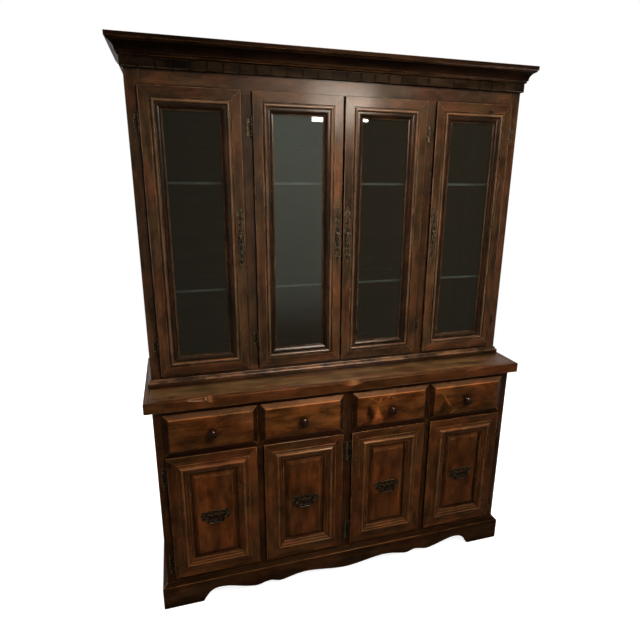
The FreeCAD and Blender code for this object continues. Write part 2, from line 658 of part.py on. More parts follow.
def upper_section():
    """An upper door's member: flat, bead, slope down to the glass, rebate behind."""
    front = HUTCH_DOOR_FACE_Y
    back = HUTCH_SET_BACK + TONGUE_DEPTH
    sight = UPPER_FLAT + UPPER_MOULD
    glass = front + GLASS_SET
    rebate = sight - GLASS_REBATE
    moulding = moved(UPPER_PROFILE, lambda across, out: (UPPER_FLAT + across, front - out))
    return ([(0.0, front + EDGE_EASE), (EDGE_EASE, front), (UPPER_FLAT, front)] + moulding
            + [(sight, glass), (rebate, glass), (rebate, back), (0.0, back)])


def upper_door_frame(span, sides):
    """Four moulded members, and four beads that hold the pane in its rebate."""
    z0, z1 = HUTCH_DOOR_Z
    x0, x1 = span
    sight = UPPER_FLAT + UPPER_MOULD
    members = mitred_frame(upper_section(), x0, x1, z0, z1, sight)
    members = rabbet(members, x0, x1, z0, z1, HUTCH_SET_BACK, sides)
    pane_back = HUTCH_DOOR_FACE_Y + GLASS_SET + GLASS
    back = HUTCH_SET_BACK + TONGUE_DEPTH
    rebate = sight - GLASS_REBATE
    bead = [(rebate, pane_back), (rebate + GLASS_BEAD[0], pane_back), (rebate + GLASS_BEAD[1], back),
            (rebate, back)]
    return members + mitred_frame(bead, x0, x1, z0, z1, sight)


def upper_door_pane(span):
    inset = UPPER_FLAT + UPPER_MOULD - GLASS_REBATE + GLASS_SIDE_GAP
    y0 = HUTCH_DOOR_FACE_Y + GLASS_SET
    return box(span[0] + inset, span[1] - inset, y0, y0 + GLASS,
               HUTCH_DOOR_Z[0] + inset, HUTCH_DOOR_Z[1] - inset)


# ---------------------------------------------------------------- hinges and catches

def hinge_axis(edge, hand, face_y):
    """Where a hinge's pin stands. hand is +1 for a door hung on its left edge, -1 on its right."""
    return (edge - hand * BARREL_OUT, face_y - BARREL_PROUD)


def hinge_parts(edge, hand, face_y, z_mid, size):
    """The frame leaf with its pin, the screws through it, and the door leaf."""
    height, knuckle = size
    x, y = hinge_axis(edge, hand, face_y)
    z0 = z_mid - height / 2
    z1 = z_mid + height / 2
    levels = [(z0, z0 + knuckle), (z1 - knuckle, z1)]
    middle = (z0 + knuckle + CLEAR, z1 - knuckle - CLEAR)

    def block(a0, a1, y0, y1, za, zb):
        xs = sorted((x + hand * a0, x + hand * a1))
        return box(xs[0], xs[1], y0, y1, za, zb)

    plate = [block(-BARREL_RADIUS - FRAME_LEAF_WIDTH, 0.0, face_y - LEAF, face_y, z0, z1)]
    for low, high in levels:
        plate.append(cylinder(BARREL_RADIUS, V(x, y, low), V(x, y, high)))
        plate.append(block(-BARREL_RADIUS, 0.0, y, face_y - LEAF / 2, low, high))
    hole = cylinder(PIN_RADIUS, V(x, y, z0 - SPARE), V(x, y, z1 + SPARE))
    frame_leaf = fuse(plate).cut(hole)

    lip_y = face_y - CLEAR
    tongue_x = BARREL_OUT + TONGUE
    door_y = face_y + TONGUE_DEPTH
    strap_y = lip_y - DOOR_LEAF_SET - DOOR_LEAF
    leaf = [
        cylinder(BARREL_RADIUS, V(x, y, middle[0]), V(x, y, middle[1])),
        block(0.0, tongue_x, strap_y, strap_y + DOOR_LEAF, *middle),
        block(tongue_x - DOOR_LEAF, tongue_x, strap_y, door_y + DOOR_LEAF, *middle),
        block(tongue_x - DOOR_LEAF, tongue_x + DOOR_LEAF_BACK, door_y, door_y + DOOR_LEAF, *middle),
    ]
    bore = cylinder(PIN_RADIUS + PIN_PLAY, V(x, y, z0), V(x, y, z1))
    door_leaf = fuse(leaf).cut(bore)

    pin = [cylinder(PIN_RADIUS, V(x, y, z0), V(x, y, z1))]
    for end, way in ((z0, -1), (z1, 1)):
        pin.append(Part.makeCone(FINIAL_RADII[0], FINIAL_RADII[1], FINIAL, V(x, y, end), V(0, 0, way)))
    screws = []
    screw_x = x - hand * (BARREL_RADIUS + SCREW_IN)
    for low, high in levels:
        z = (low + high) / 2
        screws.append(cylinder(SCREW_RADIUS, V(screw_x, face_y - LEAF - SCREW_HEAD, z),
                               V(screw_x, face_y - LEAF, z)))
    return frame_leaf, fuse(pin), screws, door_leaf


def leaf_recess(edge, hand, face_y, z_mid, size):
    """The housing for the door leaf in the back of the door's lip, and beside its tongue."""
    height, knuckle = size
    x0, x1 = sorted((edge - hand * SPARE, edge + hand * (TONGUE + RECESS_PLAY)))
    y1 = face_y - CLEAR
    y0 = y1 - DOOR_LEAF_SET - DOOR_LEAF - RECESS_PLAY
    half = height / 2 - knuckle - CLEAR + RECESS_PLAY
    return box(x0, x1, y0, y1, z_mid - half, z_mid + half)


def catch(free_edge, hand, face_y, opening_top):
    """A magnetic catch under the rail, and its strike on the door's back.

    hand is +1 for a door hung on its left edge, whose free edge is on the right.
    """
    mid = free_edge - hand * CATCH_INSET
    x0 = mid - CATCH_LENGTH / 2
    x1 = mid + CATCH_LENGTH / 2
    door_y = face_y + TONGUE_DEPTH
    body_y = door_y + STRIKE + CLEAR
    body = box(x0, x1, body_y, body_y + CATCH_DEPTH, opening_top - CATCH_HEIGHT, opening_top)
    strike = box(x0 + STRIKE_SHORT, x1 - STRIKE_SHORT, door_y, door_y + STRIKE,
                 opening_top - CATCH_HEIGHT, opening_top - TONGUE_GAP - SPARE)
    return body, strike


# ---------------------------------------------------------------- pulls

def mirrored_outline(half, place_x, place_z, y0, y1):
    """A plate that is alike left and right, from the right half of its outline.

    half runs from the top of the middle line to its bottom, in steps of (across, up).
    """
    back = []
    here = half[0]
    for step in half[1:]:
        if isinstance(step[0], tuple):
            through, end = step
            back.append(((-through[0], through[1]), (-here[0], here[1])))
        else:
            end = step
            back.append((-here[0], here[1]))
        here = end
    back.reverse()
    face = outline(list(half) + back, lambda u, v: V(place_x + u, y0, place_z + v))
    return face.extrude(V(0, y1 - y0, 0))


def escutcheon(x):
    """Long narrow plate with lobed ends, and the two ears and pin that carry the drop."""
    face_y = HUTCH_DOOR_FACE_Y
    plate = mirrored_outline(ESCUTCHEON, x, ESCUTCHEON_Z, face_y - PLATE, face_y)
    axis_z = ESCUTCHEON_Z + DROP_AXIS_UP
    axis_y = face_y - PLATE - DROP_AXIS_OUT
    reach = EAR_HALF_GAP + EAR
    ears = [cylinder(DROP_PIN, V(x - reach, axis_y, axis_z), V(x + reach, axis_y, axis_z))]
    for side in (-1, 1):
        x0, x1 = sorted((x + side * EAR_HALF_GAP, x + side * reach))
        ears.append(box(x0, x1, axis_y, face_y - PLATE, axis_z - DROP_EYE, axis_z + DROP_EYE))
        ears.append(cylinder(DROP_EYE, V(x0, axis_y, axis_z), V(x1, axis_y, axis_z)))
    return [plate, fuse(ears)]


def drop_pull(x):
    """A pear-shaped drop that hangs from the pin between the ears."""
    axis_z = ESCUTCHEON_Z + DROP_AXIS_UP
    axis_y = HUTCH_DOOR_FACE_Y - PLATE - DROP_AXIS_OUT
    wide = EAR_HALF_GAP - CLEAR
    eye = cylinder(DROP_EYE, V(x - wide, axis_y, axis_z), V(x + wide, axis_y, axis_z))
    right = moved(DROP, lambda across, down: (across, -down))
    body = mirrored_outline(right, x, axis_z, axis_y - DROP_THICK / 2, axis_y + DROP_THICK / 2)
    ends = V(wide + SPARE, 0, 0)
    middle = V(x, axis_y, axis_z)
    return fuse([eye, body]).cut(cylinder(DROP_PIN + PIN_PLAY, middle - ends, middle + ends))


def batwing(x):
    """Back plate with scalloped wings, and two bored posts for the bail."""
    face_y = PANEL_FACE_Y
    plate = mirrored_outline(BATWING, x, PULL_Z, face_y - PLATE, face_y)
    axis_y = face_y - PLATE - BAIL_OUT
    axis_z = PULL_Z + BAIL_AXIS_UP
    reach = BAIL_HALF + POST_RADIUS + SPARE
    bore = cylinder(BAIL_PIN_RADIUS + PIN_PLAY, V(x - reach, axis_y, axis_z), V(x + reach, axis_y, axis_z))
    pieces = [plate]
    for side in (-1, 1):
        post_x = x + side * BAIL_HALF
        post = cylinder(POST_RADIUS, V(post_x, face_y - PLATE, axis_z),
                        V(post_x, face_y - PLATE - POST_LENGTH, axis_z))
        pieces.append(post.cut(bore))
    return pieces


def bail(x):
    """A rod bent to a U that hangs from the posts by the pins at its ends."""
    axis_y = PANEL_FACE_Y - PLATE - BAIL_OUT
    axis_z = PULL_Z + BAIL_AXIS_UP
    inner = BAIL_HALF - POST_RADIUS - CLEAR - BAIL_ROD
    low = axis_z - BAIL_DROP
    middle = BAIL_BEND * (1 - 0.5 ** 0.5)

    def at(u, v):
        return V(x + u, axis_y, v)

    def half(side):
        end, turn = at(side * inner, axis_z), at(side * inner, low + BAIL_BEND)
        through = at(side * (inner - middle), low + middle)
        foot = at(side * (inner - BAIL_BEND), low)
        return [Part.LineSegment(end, turn).toShape(), Part.Arc(turn, through, foot).toShape()], foot

    left, left_foot = half(-1)
    right, right_foot = half(1)
    path = Part.Wire(left + [Part.LineSegment(left_foot, right_foot).toShape()] + right[::-1])
    ring = Part.Wire([Part.Circle(at(-inner, axis_z), V(0, 0, 1), BAIL_ROD).toShape()])
    parts = [path.makePipeShell([ring], True, False)]
    for side in (-1, 1):
        end = at(side * inner, axis_z)
        parts.append(Part.makeSphere(BAIL_ROD, end))
        parts.append(cylinder(BAIL_PIN_RADIUS, end, end + V(side * (BAIL_ROD + BAIL_PIN_IN), 0, 0)))
    return fuse(parts)


# ---------------------------------------------------------------- hutch

def shelf_pins():
    """Along X from the sides, and along Y from the inner stiles and the back panel."""
    spans = upper_spans()
    stile_x = (spans[2][1] + spans[3][0]) / 2
    front = HUTCH_FRAME_BACK + SHELF_FRONT_GAP
    back = PANEL_FRONT - SHELF_BACK_GAP
    first = front + SHELF_PIN_FRONT
    pins = []
    for top in SHELF_TOP_Z:
        z = top - SHELF_THICKNESS - SHELF_PIN_RADIUS
        lines = [(V(INSIDE - SHELF_PIN_OUT, y, z), V(INSIDE + SHELF_PIN_IN, y, z))
                 for y in (first, first + SHELF_PIN_SPAN)]
        lines.append((V(stile_x, HUTCH_FRAME_BACK - SHELF_PIN_IN, z), V(stile_x, front + SHELF_PIN_OUT, z)))
        lines.append((V(stile_x, back - SHELF_PIN_OUT, z), V(stile_x, CASE_BACK, z)))
        for start, end in lines:
            pins.extend(both_sides(cylinder(SHELF_PIN_RADIUS, start, end)))
    return pins


def drilled(pieces, pins):
    """The same pieces with the shelf pins' holes."""
    return [piece.cut(pins) for piece in pieces]


def hutch_case():
    """Sides, floor and top board."""
    z0 = COUNTER_TOP_Z
    z1 = HUTCH_TOP_Z
    rabbet_box = box(INSIDE, INSIDE + BACK_RABBET, PANEL_FRONT, CASE_BACK, z0, z1)
    side = box(INSIDE, HALF, HUTCH_FRAME_BACK, CASE_BACK, z0, z1).cut(rabbet_box)
    floor = box(-INSIDE, INSIDE, HUTCH_FRAME_BACK, PANEL_FRONT, HUTCH_FLOOR_Z - BOARD, HUTCH_FLOOR_Z)
    top = box(-INSIDE, INSIDE, HUTCH_FRAME_BACK, PANEL_FRONT, z1 - BOARD, z1)
    return both_sides(side) + [floor, top]


def hutch_back():
    return [box(-INSIDE - BACK_RABBET, INSIDE + BACK_RABBET, PANEL_FRONT, CASE_BACK,
                COUNTER_TOP_Z, HUTCH_TOP_Z)]


def hutch_face_frame():
    """Outer stiles, inner stiles between doors 1 and 2 and doors 3 and 4, top and bottom rails."""
    y0, y1 = HUTCH_SET_BACK, HUTCH_FRAME_BACK
    edge = HALF - HUTCH_STILE_SHOW - OVERLAP
    spans = upper_spans()
    low = HUTCH_DOOR_Z[0] + OVERLAP
    high = HUTCH_DOOR_Z[1] - OVERLAP
    stile = box(edge, HALF, y0, y1, COUNTER_TOP_Z, HUTCH_TOP_Z)
    inner = box(spans[2][1] - OVERLAP, spans[3][0] + OVERLAP, y0, y1, low, high)
    rails = [box(-edge, edge, y0, y1, COUNTER_TOP_Z, low), box(-edge, edge, y0, y1, high, HUTCH_TOP_Z)]
    return both_sides(stile) + both_sides(inner) + rails


def glass_shelves():
    half = INSIDE - SHELF_END_GAP
    y0 = HUTCH_FRAME_BACK + SHELF_FRONT_GAP
    y1 = PANEL_FRONT - SHELF_BACK_GAP
    return [box(-half, half, y0, y1, top - SHELF_THICKNESS, top) for top in SHELF_TOP_Z]


def cornice():
    """Crown moulding round the front and ends, and the flat frieze band under it."""
    z0 = TOTAL_HEIGHT - CROWN_HEIGHT
    crown = [(0.0, z0)] + moved(CROWN_PROFILE, lambda out, up: (out, z0 + up)) + [(0.0, TOTAL_HEIGHT)]
    low = z0 - FRIEZE_HEIGHT
    band = [(0.0, low), (FRIEZE_PROUD - FRIEZE_EASE, low), (FRIEZE_PROUD, low + FRIEZE_EASE),
            (FRIEZE_PROUD, z0), (0.0, z0)]
    pieces = moulding_run(crown, HALF, HUTCH_SET_BACK, CASE_BACK)
    pieces += moulding_run(band, HALF, HUTCH_SET_BACK, CASE_BACK)
    return pieces


def hutch_base_moulding():
    z0 = COUNTER_TOP_Z
    edge = moved(FOOT_MOULD_PROFILE, lambda out, up: (out, z0 + up))
    section = [(0.0, z0)] + edge + [(0.0, z0 + FOOT_MOULD_HEIGHT)]
    return moulding_run(section, HALF, HUTCH_SET_BACK, CASE_BACK)


# ---------------------------------------------------------------- build

SIDES = ("left", "right", "bottom", "top")
UPPER_HUNG_LEFT = (True, True, False, False)
LOWER_HUNG_LEFT = (True, False, True, False)
# The two middle doors of the hutch meet, with no stile to lap.
UPPER_LAPS = (SIDES, ("left", "bottom", "top"), ("right", "bottom", "top"), SIDES)
LOWER_LAPS = (SIDES, SIDES, SIDES, SIDES)


def hung_and_free(span, left):
    """A door's hinged edge, its free edge, and +1 if it is hung on its left edge, else -1."""
    return (span[0], span[1], 1) if left else (span[1], span[0], -1)


def upper_door(span, laps, free, hand):
    x = free - hand * ESCUTCHEON_INSET
    return {"frame": upper_door_frame(span, laps), "pane": [upper_door_pane(span)],
            "fittings": escutcheon(x), "drop": [drop_pull(x)]}


def lower_door(span, laps, free, hand):
    x = (span[0] + span[1]) / 2
    return {"frame": lower_door_frame(span, laps), "panel": [lower_door_panel(span)],
            "fittings": batwing(x), "bail": [bail(x)]}


def door_row(row, door_of, spans, hung_left, laps, face_y, z_range, hinge, insets):
    """Write one row of four doors. Gives the leaves, pins, screws and catches that stay put."""
    kept = {"leaves": [], "pins": [], "screws": [], "catches": []}
    levels = (z_range[0] + insets[0], z_range[1] - insets[1])
    for index, span in enumerate(spans):
        hung, free, hand = hung_and_free(span, hung_left[index])
        pieces = door_of(span, laps[index], free, hand)
        for level in levels:
            leaf, pin, screws, door_leaf = hinge_parts(hung, hand, face_y, level, hinge)
            kept["leaves"].append(leaf)
            kept["pins"].append(pin)
            kept["screws"].extend(screws)
            pieces["fittings"].append(door_leaf)
            recess = leaf_recess(hung, hand, face_y, level, hinge)
            pieces["frame"] = [member.cut(recess) for member in pieces["frame"]]
        body, strike = catch(free, hand, face_y, z_range[1] - OVERLAP)
        kept["catches"].append(body)
        pieces["fittings"].append(strike)
        for name, solids in pieces.items():
            write(row + "_door_" + str(index + 1) + "_" + name, solids)
    return kept


def main():
    os.makedirs("parts", exist_ok=True)

    write("countertop", countertop())
    write("base_case", base_case())
    write("base_back", base_back())
    write("base_face_frame", base_face_frame())
    write("plinth", plinth())
    write("drawer_runners", drawer_runners())
    for index, span in enumerate(drawer_spans()):
        name = "drawer_" + str(index + 1)
        write(name + "_front", [drawer_front(span)])
        write(name + "_box", drawer_box(span))
        write(name + "_knob", [drawer_knob(span)])

    pins = shelf_pins()
    write("shelf_pins", pins)
    write("hutch_case", drilled(hutch_case(), pins))
    write("hutch_back", drilled(hutch_back(), pins))
    write("hutch_face_frame", drilled(hutch_face_frame(), pins))
    write("glass_shelves", glass_shelves())
    write("cornice", cornice())
    write("hutch_base_moulding", hutch_base_moulding())

    upper = door_row("upper", upper_door, upper_spans(), UPPER_HUNG_LEFT, UPPER_LAPS,
                     HUTCH_SET_BACK, HUTCH_DOOR_Z, UPPER_HINGE, UPPER_HINGE_INSETS)
    lower = door_row("lower", lower_door, door_spans(), LOWER_HUNG_LEFT, LOWER_LAPS,
                     0.0, DOOR_Z, LOWER_HINGE, LOWER_HINGE_INSETS)
    write("door_hinges", upper["leaves"] + upper["pins"] + lower["leaves"] + lower["pins"])
    write("hinge_screws", upper["screws"] + lower["screws"])
    write("door_catches", upper["catches"] + lower["catches"])


main()
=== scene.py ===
"""Looks of the dresser with hutch. Metres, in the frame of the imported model: +Z up, front faces -Y."""

import json
import math
import random

import bmesh
import bpy
from mathutils import Matrix, Vector


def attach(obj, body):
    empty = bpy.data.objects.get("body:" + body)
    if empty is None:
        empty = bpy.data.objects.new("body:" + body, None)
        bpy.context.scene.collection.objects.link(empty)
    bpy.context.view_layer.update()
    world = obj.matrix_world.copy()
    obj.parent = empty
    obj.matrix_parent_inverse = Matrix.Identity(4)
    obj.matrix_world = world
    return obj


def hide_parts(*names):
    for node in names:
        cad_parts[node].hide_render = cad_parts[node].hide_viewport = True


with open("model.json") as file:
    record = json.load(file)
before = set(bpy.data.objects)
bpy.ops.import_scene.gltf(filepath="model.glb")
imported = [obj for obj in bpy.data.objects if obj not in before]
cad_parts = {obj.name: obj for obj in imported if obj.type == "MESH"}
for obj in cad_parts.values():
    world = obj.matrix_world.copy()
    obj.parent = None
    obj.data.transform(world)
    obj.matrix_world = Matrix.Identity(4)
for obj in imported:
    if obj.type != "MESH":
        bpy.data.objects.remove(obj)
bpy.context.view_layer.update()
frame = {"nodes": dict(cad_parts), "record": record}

# ---- edges
SHARP = math.radians(28)        # a sharper turn than this is an edge
FLAT = math.radians(0.4)        # a smaller one is no edge at all
LONG_EDGE = 0.012               # only edges longer than this are eased
EASE = {"countertop": 0.0022, "plinth": 0.0016, "cornice": 0.0009, "hutch_base_moulding": 0.0009}
EASE_BOARD = 0.0008
EASE_METAL = 0.0002
MITRE_WEIGHT = 0.25             # how much of the easing the rims of a mitre get

MICRONS = 1e6                   # in a metre: corners are matched to the micron
FAR = 40.0                      # boards' patterns start anywhere within this

# ---- metal plates
PLATE_ROUND = 0.00035           # rounding of the plates' rims

# ---- studio
WORLD_LEVEL = 0.25              # plain light from all round
ROOM_LEVEL = 0.08               # what the front of the cabinet mirrors
REAR_LEVEL = 0.5                # and what its back does
FLOOR_GLOW = 0.85               # what the camera sees of the floor beside its lit colour
FLOOR_SIZE = 3.4                # half the floor's width
WINDOW_FOOT = 0.42              # level of the soft window that only shows in reflections, at its foot
WINDOW_HEAD = 0.80              # and at its head
WINDOW_ACROSS = (0.23, 0.10)    # its middle and half width, as slopes to the side of straight ahead
WINDOW_UP = (-0.05, 0.22)       # and its middle and half height, as slopes upwards
WINDOW_RAMP = (-0.25, 0.12)     # from which slope to which its level rises
# name, place, what it points at, size, power, colour, cone in degrees
LAMPS = (("key", (0.64, -2.05, 2.11), (0.0, -0.1, 1.5), (0.42, 0.24), 9.0, (1.0, 0.93, 0.84), 180),
         ("ceiling", (0.35, -1.05, 2.80), (0.1, -0.2, 0.8), 0.8, 23.0, (1.0, 0.95, 0.88), 180),
         ("fill", (0.8, -2.2, 2.90), (0.10, 0.0, 1.0), 0.8, 5.3, (1.0, 0.96, 0.90), 50),
         ("left", (-3.0, 0.9, 1.3), (0.0, 0.0, 1.0), 1.6, 48.0, (1.0, 0.97, 0.93), 180),
         ("right", (3.0, 0.9, 1.3), (0.0, 0.0, 1.0), 1.6, 48.0, (1.0, 0.97, 0.93), 180),
         ("behind", (0.0, 3.2, 1.3), (0.0, 0.0, 1.0), 1.6, 70.0, (1.0, 0.97, 0.93), 180))

# ---- camera
CAMERA_PLACE = (-0.5949, -1.8433, 1.595)
CAMERA_YAW = 0.2923             # to the right of straight ahead, radians
CAMERA_PITCH = 0.2757           # downwards
CAMERA_ROLL = 0.0091
LENS = 27.867                   # millimetres, on the sensor below
SENSOR = 36.0
SHIFT = (-0.00587, -0.00402)


def srgb(red, green, blue):
    """A colour written as 0..255 display values, as the linear one that Blender works in."""
    def linear(value):
        value /= 255
        return value / 12.92 if value <= 0.04045 else ((value + 0.055) / 1.055) ** 2.4
    return (linear(red), linear(green), linear(blue), 1.0)


PALE_SHEEN = srgb(255, 238, 222)   # lacquer on the hutch, which takes the light
WARM_SHEEN = srgb(255, 178, 118)   # lacquer on the base
PALE_WEAR_AND_HIGHLIGHT = srgb(130, 100, 73)     # bare wood where the hutch's stain is rubbed off, and a painted highlight on slopes, crests and arrises
WARM_WEAR_AND_HIGHLIGHT = srgb(140, 94, 54)      # and the base's, also a painted highlight on its crests and arrises
HUTCH_LACQUER = {"sheen": PALE_SHEEN, "shine": 0.28, "gloss": 0.12, "rough": (0.18, 0.30), "blotch": 0.4}
FRONT_LACQUER = {"sheen": WARM_SHEEN, "gloss": 0.25, "rough": (0.22, 0.34)}
NUMBERS = "1234"                   # of the doors and drawers, from the left
WINDOW_TINT = srgb(240, 255, 238)
FLOOR_MIRRORED = srgb(84, 78, 70)  # the floor as reflections show it
WHITE = (1.0, 1.0, 1.0, 1.0)


# ---------------------------------------------------------------- node trees

class Tree:
    """Builds one material's node tree. Numbers and links can be mixed as inputs."""

    def __init__(self, name):
        self.material = bpy.data.materials.new(name)
        self.material.use_nodes = True
        self.begin(self.material.node_tree, "ShaderNodeOutputMaterial")

    def begin(self, tree, output):
        self.nodes = tree.nodes
        self.links = tree.links
        self.nodes.clear()
        self.output = self.nodes.new(output)

    @classmethod
    def on(cls, tree, output):
        """The same helpers on a tree that is not a material's."""
        made = cls.__new__(cls)
        made.begin(tree, output)
        return made

    def set(self, socket, value):
        if isinstance(value, bpy.types.NodeSocket):
            self.links.new(value, socket)
        elif value is not None:
            socket.default_value = value[:3] if socket.type == "VECTOR" else value

    def node(self, kind, inputs=None, **settings):
        made = self.nodes.new(kind)
        for key, value in settings.items():
            setattr(made, key, value)
        for key, value in (inputs or {}).items():
            self.set(made.inputs[key], value)
        return made

    def math(self, operation, first, second=None):
        made = self.node("ShaderNodeMath", operation=operation)
        for socket, value in zip(made.inputs, (first, second)):
            self.set(socket, value)
        return made.outputs[0]

    def plus(self, first, second):
        return self.math("ADD", first, second)

    def minus(self, first, second):
        return self.math("SUBTRACT", first, second)

    def times(self, first, second):
        return self.math("MULTIPLY", first, second)

    def over(self, first, second):
        return self.math("DIVIDE", first, second)

    def vector(self, operation, first, second=None):
        made = self.node("ShaderNodeVectorMath", operation=operation)
        for socket, value in zip(made.inputs, (first, second)):
            self.set(socket, value)
        return made.outputs[1 if operation in ("LENGTH", "DISTANCE", "DOT_PRODUCT") else 0]

    def stretched(self, vector, factors):
        """The vector with each of its three numbers times its own factor."""
        return self.vector("MULTIPLY", vector, factors)

    def split(self, vector):
        return self.node("ShaderNodeSeparateXYZ", {0: vector}).outputs

    def join(self, x, y, z):
        return self.node("ShaderNodeCombineXYZ", {0: x, 1: y, 2: z}).outputs[0]

    def noise(self, vector, scale, detail=3.0, roughness=0.5):
        made = self.node("ShaderNodeTexNoise", {"Vector": vector, "Scale": scale, "Detail": detail,
                                                "Roughness": roughness})
        return made.outputs["Fac"]

    def attribute(self, name, output="Vector"):
        return self.node("ShaderNodeAttribute", attribute_name=name).outputs[output]

    def place(self):
        """Where on the object the point is, in metres."""
        return self.node("ShaderNodeTexCoord").outputs["Object"]

    def normal(self):
        return self.node("ShaderNodeNewGeometry").outputs["Normal"]

    def openness(self, distance, samples):
        """1 in the open, lower where other surfaces are nearer than the distance."""
        made = self.node("ShaderNodeAmbientOcclusion", {"Distance": distance}, samples=samples)
        return made.outputs["AO"]

    def ramp(self, value, *stops):
        made = self.node("ShaderNodeValToRGB", {"Fac": value})
        elements = made.color_ramp.elements
        while len(elements) < len(stops):
            elements.new(0.5)
        for element, (place, colour) in zip(elements, stops):
            element.position = place
            element.color = colour
        return made.outputs["Color"]

    def span(self, value, low, high, to_low=0.0, to_high=1.0):
        """value between low and high becomes to_low to to_high, smoothly, and is held outside."""
        made = self.node("ShaderNodeMapRange", interpolation_type="SMOOTHSTEP")
        for socket, number in zip(made.inputs, (value, low, high, to_low, to_high)):
            self.set(socket, number)
        return made.outputs[0]

    def mix(self, factor, first, second):
        made = self.node("ShaderNodeMix", data_type="RGBA")
        self.set(made.inputs["Factor"], factor)
        self.set(made.inputs[6], first)
        self.set(made.inputs[7], second)
        return made.outputs[2]

    def scaled(self, colour, factor):
        """The colour made darker or lighter by a factor."""
        made = self.node("ShaderNodeVectorMath", operation="SCALE")
        self.set(made.inputs[0], colour)
        self.set(made.inputs["Scale"], factor)
        return made.outputs[0]

    def bump(self, height, distance, strength):
        inputs = {"Height": height, "Distance": distance, "Strength": strength}
        return self.node("ShaderNodeBump", inputs).outputs[0]

    def principled(self, **inputs):
        made = self.node("ShaderNodeBsdfPrincipled")
        for key, value in inputs.items():
            self.set(made.inputs[key.replace("_", " ")], value)
        self.links.new(made.outputs[0], self.output.inputs["Surface"])
        return made


# ---------------------------------------------------------------- wood

KNOT_CELLS = (1.9, 4.2)         # knot cells per metre along and across a board
KNOT_SIZE = (0.004, 0.011)      # radii of the smallest and the largest knot
KNOT_SQUEEZE = 0.75             # along the board, where knots are a third longer
HALO = 4.5                      # reach of the darker wood round a knot, in its radii
PARTING = 0.012                 # how far the grain parts beside a knot
ARRIS = 0.003                   # how far from an outside corner the stain is rubbed, which partly paints a highlight there
WANDER = 0.11                   # how far the growth rings wander across a board
BAND_PITCH = 21.0               # growth bands per metre across a board
RING_PITCH = 520.0              # late-wood lines, radians per metre
RING_WAVES = 22.0               # radians by which the bands shift those lines
STREAK_PITCH = 300.0            # fine streaks per metre
CORNER_SHADE_AND_DIRT = 0.8                      # how dark the corners get: painted shade, partly dirt
CORNER_SHADE_AND_DIRT_REACH = 0.025              # and how far out of them that painted shade and dirt reach
PITTED = 0.2                    # the stain's level in specks and dents
SLOPE = (0.15, 0.6)             # the upward part of the normal at which the painted light on a slope begins and is full
DENT_SPACING = 0.052            # chisel dents along the frieze
FEATHER_TOP = (0.121, 0.748)    # the pale feather in the third drawer: its point as (x, z),
FEATHER_FOOT = 0.664            # the height of its foot
FEATHER_HALF = 0.026            # and half its width


def knot_field(t, grain, u, v, share):
    """Knots, the darker wood round them, and how the grain parts beside them."""
    per_u, per_v = KNOT_CELLS
    cells = t.node("ShaderNodeTexVoronoi", {"Scale": 1.0}, voronoi_dimensions="2D")
    t.set(cells.inputs["Vector"], t.join(t.times(u, per_u), t.times(v, per_v), 0.0))
    centre_u, centre_v, _ = t.split(cells.outputs["Position"])
    chance, size, _ = t.split(cells.outputs["Color"])
    off_u = t.minus(u, t.over(centre_u, per_u))
    off_v = t.minus(v, t.over(centre_v, per_v))
    away = t.vector("LENGTH", t.join(t.times(off_u, KNOT_SQUEEZE), off_v, 0.0))
    away = t.times(away, t.span(t.noise(grain, 60.0, 2.0), 0.2, 0.8, 0.85, 1.15))
    held = t.math("GREATER_THAN", chance, 1.0 - share)
    reach = t.over(away, t.span(size, 0.0, 1.0, *KNOT_SIZE))
    knot = t.times(held, t.span(reach, 0.75, 1.2, 1.0, 0.0))
    halo = t.times(held, t.span(reach, 1.0, HALO, 1.0, 0.0))
    part = t.over(off_v, t.plus(away, PARTING / 2))
    part = t.times(part, t.times(halo, PARTING))
    return knot, halo, part


def arris(t, radius=ARRIS):
    """1 along outside corners, where hands and cloths rub the stain away and where the paler colour
    partly paints a highlight; 0 elsewhere.
    """
    rounded = t.node("ShaderNodeBevel", {"Radius": radius}, samples=4).outputs["Normal"]
    turned = t.span(t.vector("DOT_PRODUCT", rounded, t.normal()), 0.985, 0.86)
    return t.times(turned, t.span(t.openness(0.006, 4), 0.6, 0.9))


def ragged(t, grain, scale, amount):
    """A small shift that makes the rims of a mark ragged."""
    return t.times(t.minus(t.noise(grain, scale, 4.0, 0.65), 0.5), amount)


def mark_cover(t, x, z, place, size, lean):
    """1 inside one oval mark, falling to 0 round it."""
    off_x = t.minus(x, place[0])
    off_z = t.minus(z, place[1])
    along = t.plus(t.times(off_x, math.cos(lean)), t.times(off_z, math.sin(lean)))
    across = t.minus(t.times(off_z, math.cos(lean)), t.times(off_x, math.sin(lean)))
    reach = t.vector("LENGTH", t.join(t.over(along, size[0]), t.over(across, size[1]), 0.0))
    return t.span(reach, 0.35, 1.4, 1.0, 0.0)


def feather_cover(t, x, z):
    """1 inside the feather, which widens from its point down to its foot."""
    down = t.over(t.minus(FEATHER_TOP[1], z), FEATHER_TOP[1] - FEATHER_FOOT)
    out = t.over(t.math("ABSOLUTE", t.minus(x, FEATHER_TOP[0])), FEATHER_HALF)
    return t.times(t.span(t.minus(out, down), -0.45, 0.15, 1.0, 0.0), t.span(down, 0.95, 1.1, 1.0, 0.0))


def figure(t, grain, marks, colour, light, dark):
    """Drawer-front branch figuring: pale and dark marks with ragged rims and a pale feather, and two
    broad dark marks over the outer drawers that are painted shade.
    """
    x, _, z = t.split(t.place())
    x = t.plus(x, ragged(t, grain, 45.0, 0.026))
    z = t.minus(z, ragged(t, grain, 70.0, 0.018))
    for place, size, lean, level in marks:
        shade = t.scaled(light, 1.9) if level > 0 else t.scaled(dark, 0.2)
        cover = mark_cover(t, x, z, place, size, lean)
        colour = t.mix(t.times(cover, abs(level)), colour, shade)
    return t.mix(t.times(feather_cover(t, x, z), 0.9), colour, t.scaled(light, 2.5))


